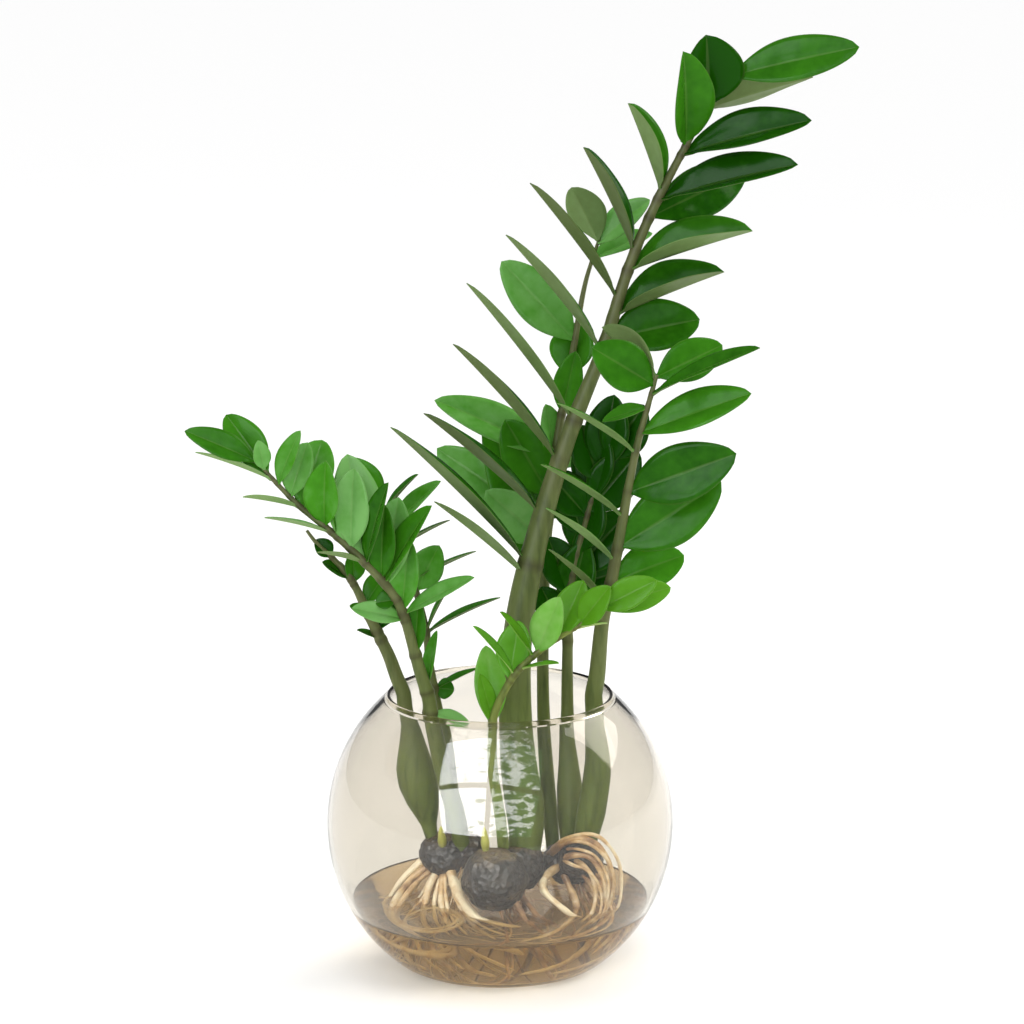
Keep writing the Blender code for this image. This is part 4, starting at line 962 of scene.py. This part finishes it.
def stalk(design):
    """One stem, with a ring at each leaflet's foot and a closed, narrowing tip."""
    line = frond_line(design)
    radii, marks = [], []
    shares = distances(line)
    scars = [row[0] for row in design["leaflets"] if row[0] < LAST_SCAR]
    length = sum((b - a).length for a, b in zip(line, line[1:]))
    for share in shares:
        near = min([abs(share - scar) * length for scar in scars])
        ring = math.exp(-((near / SCAR_WIDTH) ** 2))
        girth = between(design["girth"], share) * MM
        radii.append(girth + ring * min(SCAR_HEIGHT, 0.16 * girth))
        marks.append(SCAR_DARKNESS * ring)
    return tube(line, radii, STEM_SIDES, marks)


old_stalk = stalk_skin("olive stalk", "#65743C", "#6B7046", "#525F32")
young_stalk = stalk_skin("young stalk", "#7A8A46", "#7D8A42", "#5C6B35")
for name, design in FRONDS.items():
    material = young_stalk if name == "young" else old_stalk
    stands_for = f"{name}_stem" if name in LOOSE else f"{name}_frond"
    piece = finished(f"{name}_stalk", stalk(design), material, [stands_for])
    print(piece.name, len(piece.data.polygons), "faces")

# %% [markdown]
# ## Leaflets
#
# A leaflet is a thick, waxy blade, folded along its midrib like a shallow boat. The upper face is
# dark and glossy and the lower one paler and duller, so a folded leaflet shows two greens at once.
# A flat grid is given its thickness first, while it is easy to tell its two sides apart, and then
# each point is moved to its place on the blade.


# %% Leaflet material
MOTTLING = 0.5
RIB_PALENESS = 0.10
SIDE_VEINS = 22
VEIN_RELIEF = 0.10


def leaflet_skin(name, dark, bright, painted_sheen_colour, under_dark, under_bright):
    """A waxy blade: glossy above with a pale midrib and faint side veins, and dull below.

    The tone kept on each blade runs from 0, dark, through 1, bright, to 2, where a pale painted sheen
    comes in. It is partly the blade's own green and partly painted light.
    """
    material, shader = new_material(name)
    lower = node(material, "Attribute", attribute_name="lower").outputs["Fac"]
    parts = kept(material, "blade")
    along, tone_and_painted_light = parts["Y"], parts["Z"]
    out = node(material, "Math", {0: parts["X"]}, operation="ABSOLUTE")
    place = node(material, "TexCoord").outputs["Object"]
    cloud = node(material, "TexNoise", {"Vector": place}, Scale=every(18.2), Detail=3.0)
    mottle = node(material, "TexNoise", {"Vector": place}, Scale=every(5.26), Detail=3.0)
    # A blade's kept tone is partly its own green and partly painted light, raised for painted sheen and
    # lowered for painted shade.
    speck = node(material, "Math", {0: mottle, 1: MOTTLING, 2: tone_and_painted_light}, operation="MULTIPLY_ADD")
    tone = node(material, "Math", {0: cloud, 1: tone_and_painted_light, 2: speck}, operation="MULTIPLY_ADD")
    level = node(material, "MapRange", {"Value": tone}, From_Min=0.55, From_Max=1.6)
    above = node(material, "Mix", {0: level, 6: linear(dark), 7: linear(bright)}, data_type="RGBA")
    # Above a tone of 1.6 the blade turns a pale green: a painted sheen, the sky's reflection in its glossy
    # face.
    painted_sheen = node(material, "MapRange", {"Value": tone}, From_Min=1.6, From_Max=2.5)
    with_painted_sheen = node(material, "Mix", {0: painted_sheen, 6: above, 7: linear(painted_sheen_colour)}, data_type="RGBA")
    below = node(
        material, "Mix", {0: level, 6: linear(under_dark), 7: linear(under_bright)},
        data_type="RGBA",
    )
    sides = node(material, "Mix", {0: lower, 6: with_painted_sheen, 7: below}, data_type="RGBA")
    # The midrib is a line 1 mm wide, and the thin edge lets light through.
    rib = node(material, "MapRange", {"Value": out}, From_Min=0.07, From_Max=0.03)
    rim = node(material, "MapRange", {"Value": out}, From_Min=0.93, From_Max=1.0)
    pale = node(material, "Math", {0: rib, 1: rim}, operation="MAXIMUM")
    soft = node(material, "Math", {0: pale, 1: RIB_PALENESS}, operation="MULTIPLY")
    lined = node(material, "Mix", {0: soft, 6: sides, 7: linear("#9DB36C")}, data_type="RGBA")
    # Side veins leave the midrib at a slant, about every 3 mm of a blade 70 mm long.
    slant = node(material, "Math", {0: out, 1: along, 2: along}, operation="MULTIPLY_ADD")
    veins = node(material, "Math", {0: slant, 1: math.tau * SIDE_VEINS}, operation="MULTIPLY")
    wave = node(material, "Math", {0: veins}, operation="SINE")
    swell = node(material, "TexNoise", {"Vector": place}, Scale=every(23.8), Detail=1.0)
    waves = node(material, "Bump", {"Height": swell}, Strength=0.6, Distance=4 * MM)
    fine = node(material, "TexNoise", {"Vector": place}, Scale=every(2.94), Detail=2.0)
    relief = node(material, "Math", {0: wave, 1: VEIN_RELIEF, 2: fine}, operation="MULTIPLY_ADD")
    bump = node(material, "Bump", {"Height": relief, "Normal": waves}, Strength=0.12, Distance=0.4 * MM)
    gloss = node(material, "MapRange", {"Value": lower}, To_Min=0.19, To_Max=0.50)
    feed(shader, {"Base Color": lined, "Roughness": gloss, "Specular IOR Level": 0.07, "Normal": bump})
    return material


# %% Leaflet shape
BLADE_COLUMNS = 12
BLADE_ROWS = 26
BLADE_THICKNESS = 0.55 * MM
STALK_HALF_WIDTH = 1.1 * MM
BLADE_FOOT = 0.85
BLADE_TIP = 0.6
EDGE_CROWD = 1.35
EDGE_THICKNESS = 0.15 * MM
STALK_THICKNESS = 1.5 * MM
RIB_WIDTH = 0.9 * MM
RIB_BELOW = 0.7 * MM
RIB_ABOVE = 0.25 * MM
CUPPING = 0.16


def leaflet_axes(lean, towards, turn):
    """The directions along a leaflet, across it, and out of its upper face."""
    lean, towards, turn = math.radians(lean), math.radians(towards), math.radians(turn)
    along = Vector((
        math.sin(lean) * math.cos(towards), -math.sin(towards), math.cos(lean) * math.cos(towards)
    ))
    front = Vector((0, -1, 0))
    facing = (front - along * along.dot(front)).normalized()
    skyward = along.cross(facing) * (1 if lean < 0 else -1)
    face = facing * math.cos(turn) + skyward * math.sin(turn)
    return along, face.cross(along), face


def outline_at(t):
    """The blade's half width at a share of its length: narrow at its stalk, blunt at its tip."""
    if not 0 < t < 1:
        return 0
    return math.sin(math.pi * t) ** (BLADE_FOOT + (BLADE_TIP - BLADE_FOOT) * t)


def leaflet(base, axes, length, width, droop, twist, fold, tone_and_painted_light, rng):
    """One blade: folded on its midrib, cupped, a little wavy at its edge and thick at its stalk."""
    along, across, face = axes
    bm = bmesh.new()
    bmesh.ops.create_grid(bm, x_segments=BLADE_COLUMNS, y_segments=BLADE_ROWS, size=1)
    bmesh.ops.solidify(bm, geom=bm.faces[:], thickness=1.0)
    blade = bm.verts.layers.float_vector.new("blade")
    lower = bm.verts.layers.float.new("lower")
    heights = [vert.co.z for vert in bm.verts]
    middle = (max(heights) + min(heights)) / 2
    fold = math.radians(fold)
    wave = rng.uniform(0, math.tau)
    ripple = rng.uniform(0.01, 0.025)
    sway = rng.uniform(-0.015, 0.015)
    for vert in bm.verts:
        a = math.copysign(abs(vert.co.x) ** EDGE_CROWD, vert.co.x)
        t = (vert.co.y + 1) / 2
        below = vert.co.z < middle
        vert[blade] = (a, t, tone_and_painted_light)
        vert[lower] = 1.0 if below else 0.0
        half = max(outline_at(t) * width / 2, STALK_HALF_WIDTH * (1 - t / 0.1), EDGE_THICKNESS)
        stalky = max(0.0, 1 - t / 0.07)
        rib = math.exp(-((a * half / RIB_WIDTH) ** 2)) * (1 - t)
        thick = BLADE_THICKNESS * (1 - 0.5 * abs(a) ** 4) + STALK_THICKNESS * stalky
        lift = -0.5 * thick - RIB_BELOW * rib if below else 0.5 * thick - RIB_ABOVE * rib * (1 - stalky)
        folded = fold * min(1.0, t / 0.12)
        lift += abs(a) * half * math.sin(folded) + CUPPING * half * (abs(a) - a * a)
        lift += half * ripple * abs(a) * math.sin(wave + 9 * t + (2 if a > 0 else 0))
        sideways = a * half * math.cos(folded) + sway * length * t * t
        roll = math.radians(twist) * (t - 0.5)
        vert.co = (
            base + along * (length * t)
            + across * (sideways * math.cos(roll) - lift * math.sin(roll))
            + face * (sideways * math.sin(roll) + lift * math.cos(roll) - droop * length * t * t)
        )
    bmesh.ops.recalc_face_normals(bm, faces=bm.faces)
    return bm


# %% Leaflets
LEAFLET_SEAT = 0.4
# The third colour of each material is a painted sheen, the sky's reflection in a glossy blade.
green = leaflet_skin("zz leaflet", "#184F03", "#45901C", "#7DB866", "#5F7040", "#7F9E60")
young_green = leaflet_skin("young zz leaflet", "#508B12", "#66AC34", "#9CCB74", "#7C9A4A", "#A3BF6E")
for name, design in FRONDS.items():
    rng = random.Random(sum(ord(letter) for letter in name))
    line = frond_line(design)
    blades = []
    for share, lean, towards, length, width, turn, fold in design["leaflets"]:
        axes = leaflet_axes(lean, towards, turn)
        start = LEAFLET_SEAT * between(design["girth"], share) * MM
        # Each blade draws its tone from its frond's range, which holds painted light as well as the blade's
        # own green.
        blades.append(leaflet(
            point_at(line, share) + axes[0] * start, axes, length * MM - start, width * MM,
            design["droop"], design["twist"], fold, rng.uniform(*design["tone_and_painted_light"]), rng,
        ))
    material, slot = (young_green, "young_leaflet") if name == "young" else (green, "leaflet")
    if name in LOOSE:
        for number, bm in enumerate(blades, 1):
            finished(f"{name}_blade_{number:02d}", bm, material, [f"{name}_leaflet_{number:02d}"])
    else:
        finished(f"{name}_blades", joined(blades), material, [f"{name}_frond"])
    print(name, "leaflets:", len(blades))

# %% [markdown]
# ## Buds
#
# Two new shoots stand on the rhizomes, short, pointed and yellow-green, in a papery sheath.


# %% Buds
def bud_skin():
    """A fresh sheath: yellow-green with a paler tip, and slightly shiny."""
    material, shader = new_material("fresh bud sheath")
    along = kept(material, "grain")["X"]
    colours = node(
        material, "Mix", {0: along, 6: linear("#8A8F3E"), 7: linear("#D6D878")}, data_type="RGBA"
    )
    place = node(material, "TexCoord").outputs["Object"]
    fine = node(material, "TexNoise", {"Vector": place}, Scale=every(2), Detail=2.0)
    bump = node(material, "Bump", {"Height": fine}, Strength=0.3, Distance=0.4 * MM)
    feed(shader, {"Base Color": colours, "Roughness": 0.4, "Normal": bump})
    return material


BUDS = {
    "left_bud": ((-33, -3, 66), (-34, -12, 82), 2.8),
    "middle_bud": ((-8, -31, 73), (-9, -35, 89), 2.6),
}
BUD_PROFILE = ((0, 0.7), (0.35, 1), (0.8, 0.55), (1, 0.12))
sheath = bud_skin()
for name, (foot, tip, radius) in BUDS.items():
    line = smooth_path([Vector(foot) * MM, (Vector(foot) + Vector(tip)) / 2 * MM, Vector(tip) * MM], 8)
    radii = [radius * MM * between(BUD_PROFILE, share) for share in distances(line)]
    finished(f"{name}_shoot", tube(line, radii, 16), sheath, [name])
print("buds:", len(BUDS))
